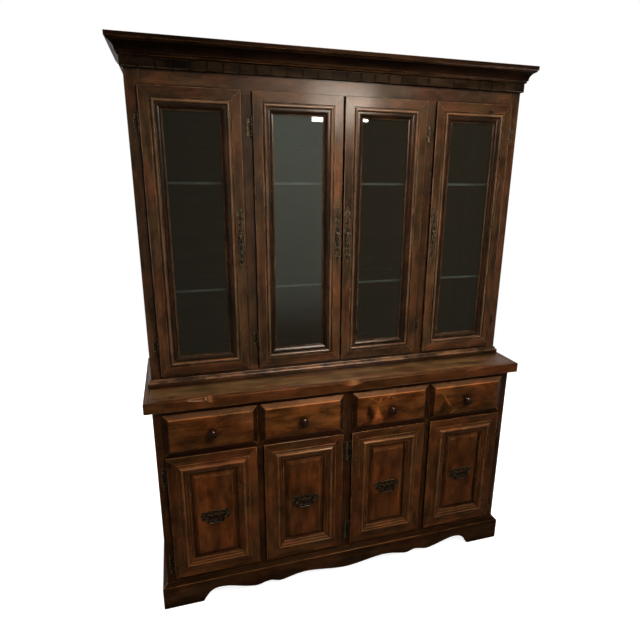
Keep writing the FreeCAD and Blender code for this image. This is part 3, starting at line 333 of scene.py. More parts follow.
def growth(t, grain, axes, part):
    """Growth rings that wander and part beside knots: soft bands, thin lines in them, fine streaks."""
    u, v, w = axes
    wander = t.minus(t.noise(t.stretched(grain, (1.3, 6.0, 6.0)), 1.0, 2.0), 0.5)
    bent = t.minus(t.plus(v, t.times(wander, WANDER)), part)
    broad = t.join(t.times(u, 0.8), t.times(bent, BAND_PITCH), t.times(w, BAND_PITCH))
    fine = t.join(t.times(u, 6.0), t.times(bent, STREAK_PITCH), t.times(w, STREAK_PITCH))
    bands = t.noise(broad, 1.0, 3.0, 0.5)
    ring = t.math("SINE", t.plus(t.times(bent, RING_PITCH), t.times(bands, RING_WAVES)))
    patchy = t.span(t.noise(t.stretched(grain, (1.5, 9.0, 9.0)), 1.0, 2.0), 0.45, 0.7)
    lines = t.times(t.span(ring, 0.45, 1.0), patchy)
    return bands, lines, t.noise(fine, 1.0, 3.0, 0.6)


def stained(t, hue, bands, tint, red):
    """The two stains in turn over the bands: the colour, and its light and dark for the figure."""
    stain = t.mix(t.span(hue, 0.4, 0.62), tint, red)
    light, middle, dark = (t.scaled(stain, level) for level in (1.5, 1.0, 0.62))
    colour = t.mix(t.span(bands, 0.3, 0.5), dark, middle)
    return t.mix(t.span(bands, 0.5, 0.72), colour, light), light, dark


def blotched(t, grain, colour, blotch):
    """Stain that took unevenly, and each board's own shade."""
    cloud = t.noise(t.stretched(grain, (10.0, 22.0, 22.0)), 1.0, 4.0, 0.65)
    colour = t.scaled(colour, t.span(cloud, 0.32, 0.68, 1.0 - blotch, 1.0 + 1.2 * blotch))
    return t.scaled(colour, t.plus(1.0, t.times(t.attribute("tone", "Fac"), 0.14)))


def glazed(t, colour, rub, wear_and_highlight_colour, recess_shade_and_glaze, crest):
    """Darkening with depth in the mouldings, which is painted shade down in them and partly glazing left
    there, and their crests rubbed pale, which partly paints a highlight.

    The first number is the depth where the darkening begins, the second the depth where it is full, and
    the third how dark it is there.
    """
    depth = t.attribute("depth", "Fac")
    start, full, level = recess_shade_and_glaze
    colour = t.scaled(colour, t.span(depth, start, full, 1.0, level))
    if crest:
        # crests rubbed pale, partly a painted highlight
        rubbed = t.times(t.span(depth, 0.0004, 0.0018, crest, 0.0), t.span(rub, 0.35, 0.6, 0.3, 1.0))
        colour = t.mix(rubbed, colour, wear_and_highlight_colour)
    return colour


def sloped(t, colour, slope_light, slope_highlight):
    """Painted light and shade on upward slopes: brighter by a factor, darker where it is below 1, and
    paler by a share of the pale colour, a painted highlight.
    """
    up = t.split(t.normal())[2]
    colour = t.scaled(colour, t.span(up, *SLOPE, 1.0, slope_light))
    return t.mix(t.span(up, *SLOPE, 0.0, slope_highlight), colour, PALE_WEAR_AND_HIGHLIGHT)


def specked(t, grain, tint, colour, height):
    """Specks from the distressing."""
    cells = t.node("ShaderNodeTexVoronoi", {"Scale": 1.0})
    t.set(cells.inputs["Vector"], t.stretched(grain, (9.0, 16.0, 16.0)))
    some = t.math("GREATER_THAN", t.split(cells.outputs["Color"])[0], 0.72)
    speck = t.times(some, t.span(cells.outputs["Distance"], 0.012, 0.03, 1.0, 0.0))
    colour = t.mix(t.times(speck, 0.8), colour, t.scaled(tint, PITTED))
    return colour, t.minus(height, t.times(speck, 2.0))


def dented(t, hue, rub, tint, colour, height):
    """Chisel dents at even steps along the board."""
    x, y, _ = t.split(t.place())
    along = t.plus(t.plus(x, y), t.times(hue, 0.02))
    gap = t.math("ABSOLUTE", t.minus(t.math("FRACT", t.over(along, DENT_SPACING)), 0.5))
    dent = t.times(t.span(gap, 0.035, 0.09, 1.0, 0.0), t.span(rub, 0.3, 0.5))
    colour = t.mix(t.times(dent, 0.8), colour, t.scaled(tint, PITTED))
    return colour, t.minus(height, t.times(dent, 4.0))


def wood(name, tint, red, sheen, shine=0.25, gloss=0.0, rough=(0.28, 0.44), knots=0.5, blotch=0.42,
         nicks=True, marks=(), dents=False, recess_shade_and_glaze=None, crest=None, slope_light=None, slope_highlight=0.0):
    """Stained, rubbed and lacquered wood. Its grain runs along each board's own length.

    tint and red are its two stains. sheen, shine, gloss and rough are its lacquer: the colour of its
    reflections, their strength, the share of a clear coat, and how dull it is. knots is the share of
    cells that hold a knot, and blotch how unevenly the stain took. The last four are for mouldings and
    paint light and shade on them: darkening with depth, which is painted shade and partly glazing; pale
    crests, partly a painted highlight; and upward slopes made brighter or darker and paler, which is
    painted light and shade.
    """
    t = Tree(name)
    wear_and_highlight_colour = PALE_WEAR_AND_HIGHLIGHT if sheen is PALE_SHEEN else WARM_WEAR_AND_HIGHLIGHT
    grain = t.attribute("grain")
    u, v, w = t.split(grain)
    knot, halo, part = knot_field(t, grain, u, v, knots)
    bands, lines, streaks = growth(t, grain, (u, v, w), part)
    hue = t.noise(t.stretched(grain, (6.0, 13.0, 13.0)), 1.0, 3.0, 0.6)
    colour, light, dark = stained(t, hue, bands, tint, red)
    if marks:
        colour = figure(t, grain, marks, colour, light, dark)
    colour = t.scaled(colour, t.span(streaks, 0.25, 0.75, 0.84, 1.14))
    colour = t.scaled(colour, t.span(lines, 0.0, 1.0, 1.0, 0.75))
    colour = blotched(t, grain, colour, blotch)
    colour = t.mix(t.times(halo, 0.4), colour, t.scaled(tint, 0.45))
    colour = t.mix(t.times(knot, 0.85), colour, t.scaled(tint, 0.14))

    # what use has done to it, and painted light and shade: painted shade deep in the mouldings, partly
    # glazing; pale crests and rubbed arrises, partly painted highlights; painted light on upward slopes;
    # dirt and painted shade in corners
    rub = t.noise(t.stretched(grain, (14.0, 45.0, 45.0)), 1.0, 3.0, 0.6)
    # painted shade deep in the mouldings, partly glazing; pale crests, partly a painted highlight
    if recess_shade_and_glaze:
        colour = glazed(t, colour, rub, wear_and_highlight_colour, recess_shade_and_glaze, crest)
    # painted light and shade on upward slopes
    if slope_light:
        colour = sloped(t, colour, slope_light, slope_highlight)
    # painted shade in corners and recesses, partly dirt
    colour = t.scaled(colour, t.span(t.openness(CORNER_SHADE_AND_DIRT_REACH, 8), 0.45, 0.95, 1.0 - CORNER_SHADE_AND_DIRT, 1.0))
    # rubbed arrises, partly a painted highlight along them
    arris_wear_and_highlight = t.times(arris(t), t.span(rub, 0.38, 0.58))
    colour = t.mix(t.times(arris_wear_and_highlight, 0.75), colour, wear_and_highlight_colour)
    height = t.plus(t.times(streaks, 0.6), t.times(bands, 0.4))
    if nicks:
        colour, height = specked(t, grain, tint, colour, height)
    if dents:
        colour, height = dented(t, hue, rub, tint, colour, height)
    dull = t.span(t.noise(t.stretched(grain, (6.0, 14.0, 14.0)), 1.0, 3.0), 0.25, 0.75, *rough)
    t.principled(Base_Color=colour, Roughness=dull, Specular_IOR_Level=shine, Specular_Tint=sheen,
                 Coat_Weight=gloss, Coat_Roughness=0.12, Normal=t.bump(height, 0.0004, 0.3))
    return t.material


def worn_edge(name, colour, under, sheen):
    """The eased edges, where the stain is rubbed through in places."""
    t = Tree(name)
    grain = t.attribute("grain")
    rub = t.noise(t.stretched(grain, (14.0, 30.0, 30.0)), 1.0, 4.0, 0.6)
    shown = t.mix(t.span(rub, 0.42, 0.62), under, colour)
    t.principled(Base_Color=shown, Roughness=t.span(rub, 0.3, 0.7, 0.26, 0.4), Specular_IOR_Level=0.4,
                 Specular_Tint=sheen, Normal=t.bump(rub, 0.0004, 0.3))
    return t.material


def plain_wood():
    """Bare, pale wood of the drawer boxes and their runners."""
    t = Tree("drawer_box_wood")
    grain = t.attribute("grain")
    lines = t.noise(t.stretched(grain, (2.0, 60.0, 60.0)), 1.0, 4.0)
    pores = t.noise(t.stretched(grain, (20.0, 700.0, 700.0)), 1.0, 2.0)
    both = t.plus(t.times(lines, 0.7), t.times(pores, 0.3))
    colour = t.ramp(both, (0.3, srgb(150, 112, 70)), (0.5, srgb(186, 148, 102)),
                    (0.7, srgb(205, 170, 124)))
    t.principled(Base_Color=colour, Roughness=t.span(pores, 0.3, 0.7, 0.42, 0.58),
                 Normal=t.bump(both, 0.0003, 0.3))
    return t.material


# ---------------------------------------------------------------- metal, glass, other

GLASS_IOR = 1.5
METAL_RIM = 0.0016              # how far from a rim the bronze is rubbed bright, which partly paints a highlight there


def bronze():
    """Antique bronze: dark in the hollows, rubbed bright along the rims, which partly paints a
    highlight.
    """
    t = Tree("antique_bronze")
    place = t.place()
    mottle = t.noise(place, 160.0, 4.0, 0.6)
    rub = t.noise(place, 420.0, 3.0)
    proud = t.times(t.span(mottle, 0.35, 0.7), t.span(t.openness(0.004, 6), 0.5, 1.0))
    colour = t.ramp(proud, (0.0, srgb(24, 17, 11)), (0.5, srgb(46, 34, 22)), (1.0, srgb(92, 71, 47)))
    # rims rubbed bright, partly a painted highlight
    bright = t.times(arris(t, METAL_RIM), t.span(rub, 0.3, 0.5))
    colour = t.mix(bright, colour, srgb(222, 196, 154))
    t.principled(Base_Color=colour, Metallic=0.75, Roughness=t.span(rub, 0.3, 0.7, 0.3, 0.5),
                 Normal=t.bump(mottle, 0.0004, 0.5))
    return t.material


def steel():
    """Brushed nickel steel of the pins and screws."""
    t = Tree("nickel_steel")
    brushed = t.noise(t.stretched(t.place(), (60.0, 60.0, 900.0)), 1.0, 3.0)
    colour = t.ramp(brushed, (0.2, srgb(120, 118, 112)), (0.8, srgb(190, 188, 182)))
    t.principled(Base_Color=colour, Metallic=1.0, Roughness=t.span(brushed, 0.3, 0.7, 0.22, 0.4))
    return t.material


def catch_plastic():
    """Brown plastic of the magnetic catches."""
    t = Tree("catch_plastic")
    speckle = t.noise(t.place(), 900.0, 3.0)
    colour = t.ramp(speckle, (0.3, srgb(58, 38, 26)), (0.7, srgb(78, 54, 38)))
    t.principled(Base_Color=colour, Roughness=0.55, Normal=t.bump(speckle, 0.0001, 0.3))
    return t.material


def glass(name, colour, cover):
    """Float glass, a little smeared. cover is how much of what is behind it the glass hides."""
    t = Tree(name)
    smear = t.noise(t.stretched(t.place(), (9.0, 9.0, 3.0)), 1.0, 2.0)
    t.principled(Base_Color=colour, Roughness=t.span(smear, 0.5, 0.8, 0.01, 0.04), IOR=GLASS_IOR,
                 Alpha=cover, Specular_IOR_Level=1.0, Coat_Weight=1.0, Coat_Roughness=0.01)
    return t.material


def glass_edge():
    """The ground front edge of a shelf, pale green."""
    t = Tree("shelf_glass_edge")
    cloud = t.noise(t.place(), 12.0, 3.0)
    colour = t.ramp(cloud, (0.3, srgb(96, 112, 96)), (0.7, srgb(140, 156, 138)))
    t.principled(Base_Color=colour, Roughness=t.span(cloud, 0.3, 0.7, 0.2, 0.35), IOR=GLASS_IOR)
    return t.material


def knob_wood():
    """Dark wood of the turned knobs, its grain along their axis."""
    t = Tree("knob_wood")
    lines = t.noise(t.stretched(t.place(), (120.0, 24.0, 120.0)), 1.0, 4.0)
    colour = t.ramp(lines, (0.3, srgb(14, 7, 5)), (0.7, srgb(32, 17, 11)))
    t.principled(Base_Color=colour, Roughness=t.span(lines, 0.3, 0.7, 0.2, 0.34),
                 Specular_IOR_Level=0.35, Specular_Tint=WARM_SHEEN, Coat_Weight=0.5,
                 Coat_Roughness=0.12, Normal=t.bump(lines, 0.0002, 0.2))
    return t.material


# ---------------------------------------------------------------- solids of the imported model

def cad_solids(node):
    """The node's solids, each as a list of corner rings. A solid ends where its surface has closed."""
    mesh = frame["nodes"][node].data
    keys = [tuple(round(value * MICRONS) for value in vertex.co) for vertex in mesh.vertices]
    solids, faces, unmatched = [], [], set()
    for polygon in mesh.polygons:
        ring = [keys[index] for index in polygon.vertices]
        faces.append(ring)
        for edge in zip(ring, ring[1:] + ring[:1]):
            if edge[::-1] in unmatched:
                unmatched.remove(edge[::-1])
            else:
                unmatched.add(edge)
        if not unmatched:
            solids.append(faces)
            faces = []
    if faces:
        solids.append(faces)
    return solids


def solid_mesh(faces):
    """One solid as a bmesh, with its flat faces whole."""
    bm = bmesh.new()
    made = {}
    for ring in faces:
        for key in ring:
            if key not in made:
                made[key] = bm.verts.new([value / MICRONS for value in key])
        if len(set(ring)) == len(ring):
            bm.faces.new([made[key] for key in ring])
    bmesh.ops.dissolve_limit(bm, angle_limit=FLAT, verts=bm.verts, edges=bm.edges)
    bm.normal_update()
    return bm


def corners(bm):
    """The low and the high corner of the box round a solid."""
    low = Vector([min(v.co[i] for v in bm.verts) for i in range(3)])
    high = Vector([max(v.co[i] for v in bm.verts) for i in range(3)])
    return low, high


def add_grain(bm, seed):
    """Gives each corner its place in the board, the board's own shade, and its depth behind the front.

    The place is along the board's length, across its width and through its thickness, in this order.
    """
    low, high = corners(bm)
    order = sorted(range(3), key=lambda i: low[i] - high[i])
    chance = random.Random(seed)
    shift = Vector([chance.uniform(0, FAR) for _ in range(3)])
    tone = chance.uniform(-1, 1)
    grain = bm.verts.layers.float_vector.new("grain")
    level = bm.verts.layers.float.new("tone")
    depth = bm.verts.layers.float.new("depth")
    middle = (low + high) / 2
    for vertex in bm.verts:
        place = vertex.co - middle
        vertex[grain] = Vector([place[i] for i in order]) + shift
        vertex[level] = tone
        vertex[depth] = vertex.co.y - low.y


def is_mitre(normal):
    """The slanting end of a mitred board, which meets its neighbour's."""
    return abs(normal.y) < 0.05 and abs(abs(normal.x) - abs(normal.z)) < 0.15


def weigh_edges(bm):
    """Marks the long sharp edges, which are the ones to ease. Round a mitre they are hardly eased."""
    weight = bm.edges.layers.float.new("bevel_weight_edge")
    for edge in bm.edges:
        turned = edge.is_manifold and edge.calc_face_angle(0.0) > SHARP
        if turned and edge.calc_length() > LONG_EDGE:
            closed = any(is_mitre(face.normal) for face in edge.link_faces)
            edge[weight] = MITRE_WEIGHT if closed else 1.0


def gathered(name, meshes):
    """One object from several bmeshes."""
    whole = bpy.data.meshes.new(name)
    total = bmesh.new()
    for bm in meshes:
        part = bpy.data.meshes.new("part")
        bm.to_mesh(part)
        bm.free()
        total.from_mesh(part)
        bpy.data.meshes.remove(part)
    total.to_mesh(whole)
    total.free()
    piece = bpy.data.objects.new(name, whole)
    bpy.context.scene.collection.objects.link(piece)
    return piece


def finish_piece(piece, materials, ease, eased_slot=None):
    """Materials, soft shading, and a small bevel on the marked edges."""
    for material in materials:
        piece.data.materials.append(material)
    piece.data.shade_smooth()
    piece.data.set_sharp_from_angle(angle=SHARP)
    bevel = piece.modifiers.new("eased", "BEVEL")
    bevel.width = ease
    bevel.segments = 2
    bevel.limit_method = "WEIGHT"
    bevel.use_clamp_overlap = False
    bevel.harden_normals = True
    if eased_slot is not None:
        bevel.material = eased_slot


def body_of(node):
    """The body that the node moves with."""
    for body, members in frame["record"]["behaviour"]["bodies"].items():
        if node in members:
            return body


def slot_of(node):
    """The node's material slot in the record."""
    for part in frame["record"]["subparts"]:
        if part["node"] == node:
            return part["material_slot"]


def stand_for(piece, node):
    """Puts the piece in the node's place: on its body, and instead of it."""
    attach(piece, body_of(node))
    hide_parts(node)


def boards(node, material, edge, third=None, is_third=None, is_worn=None):
    """The node's boards with their own grain and eased edges, in place of the CAD node.

    is_third picks the solids that get the third material, is_worn the faces that get the edge material.
    """
    meshes = []
    for index, faces in enumerate(cad_solids(node)):
        bm = solid_mesh(faces)
        add_grain(bm, node + str(index))
        weigh_edges(bm)
        low, high = corners(bm)
        other = is_third is not None and is_third(high - low)
        for face in bm.faces:
            if is_worn is not None and is_worn(face.normal):
                face.material_index = 1
            elif other:
                face.material_index = 2
        meshes.append(bm)
    piece = gathered(node + "_boards", meshes)
    finish_piece(piece, [material, edge] + ([third] if third else []), EASE.get(node, EASE_BOARD), 1)
    stand_for(piece, node)


# ---------------------------------------------------------------- pierced plates

def front_ring(bm):
    """The outline of the solid's front, as (x, z) in order round it, and the front's y."""
    y_front = min(v.co.y for v in bm.verts)
    fronts = [face for face in bm.faces
              if face.normal.y < -0.99 and face.verts[0].co.y < y_front + 10 / MICRONS]
    ahead = {}
    for face in fronts:
        for loop in face.loops:
            if sum(other in fronts for other in loop.edge.link_faces) == 1:
                ahead[loop.vert] = loop.link_loop_next.vert
    rings = []
    while ahead:
        first, vertex = ahead.popitem()
        ring = [first]
        while vertex is not first:
            ring.append(vertex)
            vertex = ahead.pop(vertex)
        rings.append([(v.co.x, v.co.z) for v in ring])
    return max(rings, key=lambda ring: max(ring)[0] - min(ring)[0]), y_front


def oval(x, z, wide, tall, lean=0.0, points=14):
    """An oval as a ring of points, turned by lean."""
    ring = []
    for step in range(points):
        turn = 2 * math.pi * step / points
        across, up = wide * math.cos(turn), tall * math.sin(turn)
        ring.append((x + across * math.cos(lean) - up * math.sin(lean),
                     z + across * math.sin(lean) + up * math.cos(lean)))
    return ring


def pierced_plate(name, ring, holes, y_front, thickness):
    """A plate with rounded rims, cut from the ring with the holes pierced through."""
    curve = bpy.data.curves.new(name, "CURVE")
    curve.dimensions = "2D"
    curve.fill_mode = "BOTH"
    for loop in [ring] + holes:
        spline = curve.splines.new("POLY")
        spline.points.add(len(loop) - 1)
        for point, (x, z) in zip(spline.points, loop):
            point.co = (x, z, 0.0, 1.0)
        spline.use_cyclic_u = True
    curve.extrude = thickness / 2 - PLATE_ROUND
    curve.bevel_depth = PLATE_ROUND
    curve.bevel_resolution = 2
    curve.offset = -PLATE_ROUND
    piece = bpy.data.objects.new(name, curve)
    mesh = bpy.data.meshes.new_from_object(piece)
    bpy.data.objects.remove(piece)
    stand = Matrix(((1, 0, 0, 0), (0, 0, -1, y_front + thickness / 2), (0, 1, 0, 0), (0, 0, 0, 1)))
    mesh.transform(stand)
    bm = bmesh.new()
    bm.from_mesh(mesh)
    bpy.data.meshes.remove(mesh)
    bmesh.ops.remove_doubles(bm, verts=bm.verts, dist=1 / MICRONS)
    return bm


# holes on a plate's middle line: up from its middle, half width, half height
ESCUTCHEON_SINGLES = ((0.092, 0.0013, 0.0030), (-0.094, 0.0013, 0.0030))
BATWING_SINGLES = ((0.013, 0.0060, 0.0034), (-0.013, 0.0058, 0.0032))
# holes in pairs: out from the middle line, up from the plate's middle, half width, half height, lean
ESCUTCHEON_PAIRS = ((0.0046, 0.079, 0.0017, 0.0055, -0.35), (0.0042, 0.056, 0.0015, 0.0060, 0.25),
                    (0.0035, 0.036, 0.0013, 0.0050, -0.30), (0.0052, -0.022, 0.0018, 0.0060, 0.30),
                    (0.0038, -0.044, 0.0014, 0.0050, -0.25), (0.0043, -0.071, 0.0016, 0.0060, 0.30))
BATWING_PAIRS = ((0.0135, 0.010, 0.0056, 0.0028, 0.35), (0.0245, 0.014, 0.0058, 0.0028, -0.25),
                 (0.0440, 0.014, 0.0048, 0.0026, 0.35), (0.0470, 0.005, 0.0038, 0.0022, -0.5),
                 (0.0165, -0.011, 0.0062, 0.0030, -0.2), (0.0300, -0.007, 0.0046, 0.0024, 0.4))


def plate_holes(x, z, singles, pairs):
    """The holes of a plate whose middle is at x, z."""
    holes = [oval(x, z + up, wide, tall) for up, wide, tall in singles]
    for out, up, wide, tall, lean in pairs:
        holes.append(oval(x + out, z + up, wide, tall, lean))
        holes.append(oval(x - out, z + up, wide, tall, -lean))
    return holes


def fittings(node, metal, singles, pairs):
    """A door's metal: its pierced plate, and the node's other solids as they are."""
    meshes = []
    for index, faces in enumerate(cad_solids(node)):
        bm = solid_mesh(faces)
        if index == 0:
            ring, y_front = front_ring(bm)
            low, high = corners(bm)
            bm.free()
            holes = plate_holes((low.x + high.x) / 2, (low.z + high.z) / 2, singles, pairs)
            meshes.append(pierced_plate(node, ring, holes, y_front, high.y - y_front))
            continue
        weigh_edges(bm)
        meshes.append(bm)
    piece = gathered(node + "_metal", meshes)
    finish_piece(piece, [metal], EASE_METAL)
    stand_for(piece, node)


# ---------------------------------------------------------------- the pieces

# marks in the drawer fronts: place (x, z), half size, lean, and how pale (+) or dark (-)
MARKS = (((0.110, 0.720), (0.090, 0.060), 0.0, 0.15),
         # the next two darken the whole of the outer drawers: painted shade where the light falls off
         ((0.530, 0.715), (0.150, 0.070), 0.0, -0.45),
         ((-0.515, 0.715), (0.140, 0.070), 0.0, -0.35),
         ((0.088, 0.712), (0.015, 0.032), 0.2, -1.0),
         ((0.100, 0.768), (0.024, 0.0045), -0.5, 0.7),
         ((0.128, 0.762), (0.015, 0.004), 1.0, 0.6),
         ((0.165, 0.772), (0.016, 0.004), 0.7, 0.6),
         ((0.182, 0.768), (0.014, 0.004), -0.8, 0.5),
         ((0.176, 0.774), (0.006, 0.004), 0.0, -0.9),
         ((0.058, 0.668), (0.009, 0.006), 0.3, -0.7),
         ((0.052, 0.672), (0.012, 0.003), 0.5, 0.6),
         ((0.412, 0.700), (0.016, 0.036), -0.3, -0.7),
         ((0.150, 0.700), (0.014, 0.030), 0.4, -0.55),
         ((0.426, 0.722), (0.042, 0.0055), -0.95, 0.6),
         ((0.462, 0.678), (0.016, 0.004), -0.1, 0.6),
         ((0.450, 0.668), (0.012, 0.004), 0.3, 0.6))
STRIP_WIDTH = 0.1               # the countertop's other boards are wider than this
BAND_HEIGHT = 0.034             # the crown is taller than this


def is_strip(size):
    """The countertop's edge strips are narrower than this one way or the other."""
    return min(size[0], size[1]) < STRIP_WIDTH


def is_band(size):
    """The frieze's boards are lower than the crown's."""
    return size[2] < BAND_HEIGHT


def is_front(normal):
    return normal.y < -0.9


def is_slope(normal):
    return 0.2 < normal.z < 0.95


def worn_edges():
    """The materials of the eased edges: where they are rubbed and where they aren't."""
    return {"brown": worn_edge("worn_edge", srgb(112, 70, 36), srgb(50, 28, 13), WARM_SHEEN),
            "pale": worn_edge("worn_edge_pale", srgb(118, 84, 54), srgb(58, 36, 20), PALE_SHEEN),
            "rubbed": worn_edge("worn_edge_rubbed", srgb(112, 76, 48), srgb(50, 32, 19), PALE_SHEEN),
            "dark": worn_edge("worn_edge_dark", srgb(72, 44, 24), srgb(30, 18, 9), WARM_SHEEN),
            # the crown's edges are kept as dark: painted shade
            "crown": worn_edge("worn_edge_crown", srgb(26, 16, 10), srgb(12, 7, 4), WARM_SHEEN)}


def dress_outside(edges):
    """The boards that stay with the cabinet and show."""
    top = wood("top_wood", srgb(82, 60, 35), srgb(76, 48, 26), PALE_SHEEN, knots=0.4)
    strip = wood("strip_wood", srgb(60, 35, 16), srgb(70, 37, 17), WARM_SHEEN, knots=0.4)
    # its upward slope is made darker: painted shade
    plinth = wood("plinth_wood", srgb(40, 25, 12), srgb(50, 27, 13), WARM_SHEEN, shine=0.07,
                  rough=(0.36, 0.5), knots=0.4, slope_light=0.4)
    # the crown and the frieze are stained far darker than the hutch: painted shade on the crown's
    # down-facing cove, and the painted shadow that the crown casts on the frieze
    crown = wood("crown_wood", srgb(20, 11, 6), srgb(26, 13, 7), WARM_SHEEN, shine=0.06, knots=0.2)
    frieze = wood("frieze_wood", srgb(23, 16, 9), srgb(31, 21, 12), PALE_SHEEN, shine=0.02, knots=0.1,
                  blotch=0.6, dents=True)
    hutch = wood("hutch_wood", srgb(52, 36, 21), srgb(66, 39, 22), **HUTCH_LACQUER)
    case = wood("case_wood", srgb(42, 25, 12), srgb(54, 28, 13), WARM_SHEEN, shine=0.3, knots=0.4)
    side = wood("side_wood", srgb(52, 32, 17), srgb(62, 34, 18), WARM_SHEEN, shine=0.3, knots=0.4,
                blotch=0.24)
    inner = wood("inside_wood", srgb(44, 34, 22), srgb(50, 35, 22), WARM_SHEEN, shine=0.15, knots=0.2,
                 blotch=0.24, nicks=False)
    boards("countertop", top, edges["pale"], strip, is_strip)
    boards("plinth", plinth, edges["brown"])
    boards("cornice", crown, edges["crown"], frieze, is_band)
    boards("hutch_base_moulding", hutch, edges["rubbed"], is_worn=is_slope)
    boards("base_face_frame", case, edges["dark"])
    boards("hutch_face_frame", hutch, edges["dark"])
    boards("base_case", side, edges["dark"])
    boards("hutch_case", side, edges["dark"])
    boards("base_back", inner, edges["dark"])
    boards("hutch_back", inner, edges["dark"])


def dress_fronts(edges):
    """Drawer fronts and doors, with painted shade deep in their mouldings, partly glazing, and painted
    highlights on their upward slopes. The depths for the darkening are behind the front of each board.
    """
    glazed_door = wood("upper_door_wood", srgb(54, 37, 21), srgb(68, 40, 22), **HUTCH_LACQUER,
                       recess_shade_and_glaze=(0.0028, 0.0055, 0.3), crest=0.35, slope_light=1.6)
    door = wood("door_wood", srgb(56, 33, 14), srgb(71, 36, 15), **FRONT_LACQUER, shine=0.4,
                recess_shade_and_glaze=(0.0092, 0.0115, 0.3), crest=0.3, slope_light=2.6, slope_highlight=0.16)
    panel = wood("panel_wood", srgb(58, 31, 12), srgb(72, 35, 12), WARM_SHEEN, shine=0.4, knots=0.3,
                 blotch=0.5, recess_shade_and_glaze=(0.0015, 0.009, 0.3), slope_light=3.0, slope_highlight=0.06)
    drawer = wood("drawer_wood", srgb(68, 38, 14), srgb(77, 39, 14), **FRONT_LACQUER, shine=0.45,
                  knots=0.3, blotch=0.55, marks=MARKS, recess_shade_and_glaze=(0.0004, 0.003, 0.17), slope_light=5.0, slope_highlight=0.3)
    for number in NUMBERS:
        boards("drawer_" + number + "_front", drawer, edges["brown"])
        boards("upper_door_" + number + "_frame", glazed_door, edges["pale"])
        boards("lower_door_" + number + "_frame", door, edges["brown"])
        boards("lower_door_" + number + "_panel", panel, edges["brown"])


def dress_drawer_boxes():
    pale = plain_wood()
    boards("drawer_runners", pale, pale)
    for number in NUMBERS:
        boards("drawer_" + number + "_box", pale, pale)


def dress_metal_and_glass():
    """The pierced plates, the shelves, and new materials on the CAD meshes that stay."""
    metal = bronze()
    for number in NUMBERS:
        fittings("upper_door_" + number + "_fittings", metal, ESCUTCHEON_SINGLES, ESCUTCHEON_PAIRS)
        fittings("lower_door_" + number + "_fittings", metal, BATWING_SINGLES, BATWING_PAIRS)
    shelf = glass("shelf_glass", srgb(60, 72, 60), 0.12)
    boards("glass_shelves", shelf, glass_edge(), is_worn=is_front)
    # the panes' dark olive colour, hiding 42 percent of what is behind, is painted: it stands for the
    # shade inside the hutch and the room mirrored in the glass
    by_slot = {"pane_glass": glass("pane_glass", srgb(37, 33, 21), 0.42), "bronze": metal,
               "steel": steel(), "catch": catch_plastic(), "dark_wood": knob_wood()}
    for node, piece in frame["nodes"].items():
        material = by_slot.get(slot_of(node))
        if material and not piece.hide_render:
            for slot in piece.material_slots:
                slot.material = material
            piece.data.shade_smooth()
            piece.data.set_sharp_from_angle(angle=SHARP)


# ---------------------------------------------------------------- studio

def floor_material():
    """White for the camera and through glass, dim in reflections, and clear towards the rim."""
    t = Tree("floor_white")
    place = t.place()
    cloud = t.noise(place, 1.5, 2.0)
    path = t.node("ShaderNodeLightPath").outputs
    seen = t.math("MAXIMUM", path["Is Camera Ray"], path["Is Transmission Ray"])
    grey = t.ramp(cloud, (0.3, srgb(196, 195, 193)), (0.7, srgb(201, 200, 198)))
    white = t.principled(Base_Color=t.mix(path["Is Glossy Ray"], grey, FLOOR_MIRRORED),
                         Roughness=0.9, Specular_IOR_Level=0.0, Emission_Color=WHITE,
                         Emission_Strength=t.times(seen, FLOOR_GLOW))
    clear = t.node("ShaderNodeBsdfTransparent")
    rim = t.span(t.vector("LENGTH", place), 0.6 * FLOOR_SIZE, 0.95 * FLOOR_SIZE)
    fade = t.node("ShaderNodeMixShader", {0: rim, 1: white.outputs[0], 2: clear.outputs[0]})
    t.links.new(fade.outputs[0], t.output.inputs["Surface"])
    return t.material


def studio_floor():
    bm = bmesh.new()
    bmesh.ops.create_grid(bm, x_segments=48, y_segments=48, size=FLOOR_SIZE)
    mesh = bpy.data.meshes.new("floor")
    bm.to_mesh(mesh)
    bm.free()
    floor = bpy.data.objects.new("floor", mesh)
    bpy.context.scene.collection.objects.link(floor)
    floor.data.materials.append(floor_material())


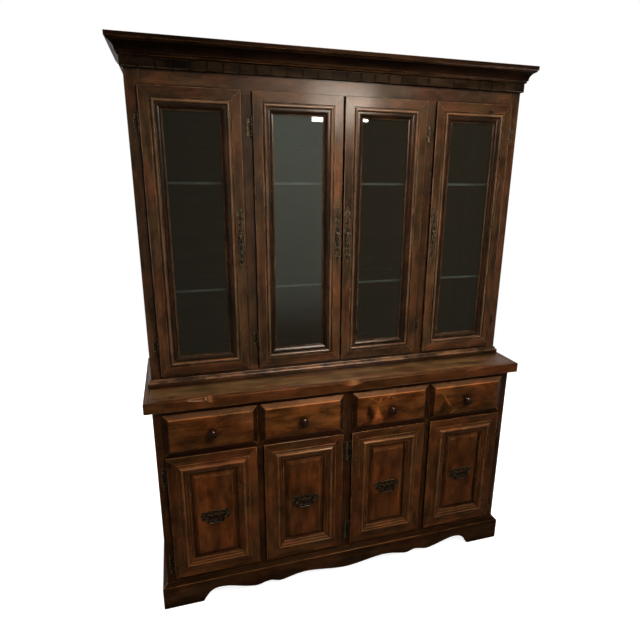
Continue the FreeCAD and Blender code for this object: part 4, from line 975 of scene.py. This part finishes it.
def studio_world():
    """White for the camera, a dim room with one soft window for reflections, else plain grey light."""
    world = bpy.data.worlds.new("studio")
    bpy.context.scene.world = world
    world.use_nodes = True
    t = Tree.on(world.node_tree, "ShaderNodeOutputWorld")
    path = t.node("ShaderNodeLightPath").outputs
    x, y, z = t.split(t.node("ShaderNodeTexCoord").outputs["Generated"])
    ahead = t.math("MAXIMUM", t.times(y, -1.0), 0.05)
    window = 1.0
    for axis, (middle, half) in ((x, WINDOW_ACROSS), (z, WINDOW_UP)):
        off = t.math("ABSOLUTE", t.minus(t.over(axis, ahead), middle))
        window = t.times(window, t.span(off, 0.7 * half, 1.3 * half, 1.0, 0.0))
    bright = t.span(t.over(z, ahead), *WINDOW_RAMP, WINDOW_FOOT, WINDOW_HEAD)
    room = t.plus(t.span(y, -0.25, 0.15, ROOM_LEVEL, REAR_LEVEL), t.times(window, bright))
    mirrored = t.times(path["Is Glossy Ray"], t.minus(room, WORLD_LEVEL))
    level = t.plus(WORLD_LEVEL, mirrored)
    seen = t.math("MAXIMUM", path["Is Camera Ray"], path["Is Transmission Ray"])
    tint = t.mix(t.times(path["Is Glossy Ray"], window), WHITE, WINDOW_TINT)
    strength = t.math("MAXIMUM", level, seen)
    ground = t.node("ShaderNodeBackground", {"Color": tint, "Strength": strength})
    t.links.new(ground.outputs[0], t.output.inputs["Surface"])


def lamp(name, place, target, size, power, colour, spread):
    """A round lamp, or an oblong one when size is (wide, tall). spread is its cone in degrees."""
    light = bpy.data.lights.new(name, "AREA")
    light.spread = math.radians(spread)
    if isinstance(size, tuple):
        light.shape = "RECTANGLE"
        light.size, light.size_y = size
    else:
        light.shape = "DISK"
        light.size = size
    light.energy = power
    light.color = colour
    thing = bpy.data.objects.new(name, light)
    thing.location = place
    thing.rotation_euler = (Vector(target) - Vector(place)).to_track_quat("-Z", "Y").to_euler()
    bpy.context.scene.collection.objects.link(thing)


def camera():
    """The camera, solved from the straight edges of the cabinet."""
    data = bpy.data.cameras.new("camera")
    data.sensor_width = SENSOR
    data.lens = LENS
    data.shift_x, data.shift_y = SHIFT
    thing = bpy.data.objects.new("camera", data)
    heading = Vector((math.sin(CAMERA_YAW), math.cos(CAMERA_YAW), 0.0))
    ahead = heading * math.cos(CAMERA_PITCH) - Vector((0.0, 0.0, math.sin(CAMERA_PITCH)))
    level = Vector((math.cos(CAMERA_YAW), -math.sin(CAMERA_YAW), 0.0))
    above = level.cross(ahead)
    right = math.cos(CAMERA_ROLL) * level + math.sin(CAMERA_ROLL) * above
    up = -math.sin(CAMERA_ROLL) * level + math.cos(CAMERA_ROLL) * above
    turn = Matrix((right, up, -ahead)).transposed()
    thing.matrix_world = Matrix.Translation(CAMERA_PLACE) @ turn.to_4x4()
    bpy.context.scene.collection.objects.link(thing)
    bpy.context.scene.camera = thing


edge_materials = worn_edges()
dress_outside(edge_materials)
dress_fronts(edge_materials)
dress_drawer_boxes()
dress_metal_and_glass()
studio_floor()
studio_world()
for values in LAMPS:
    lamp(*values)
camera()
bpy.context.scene.view_settings.view_transform = "Standard"
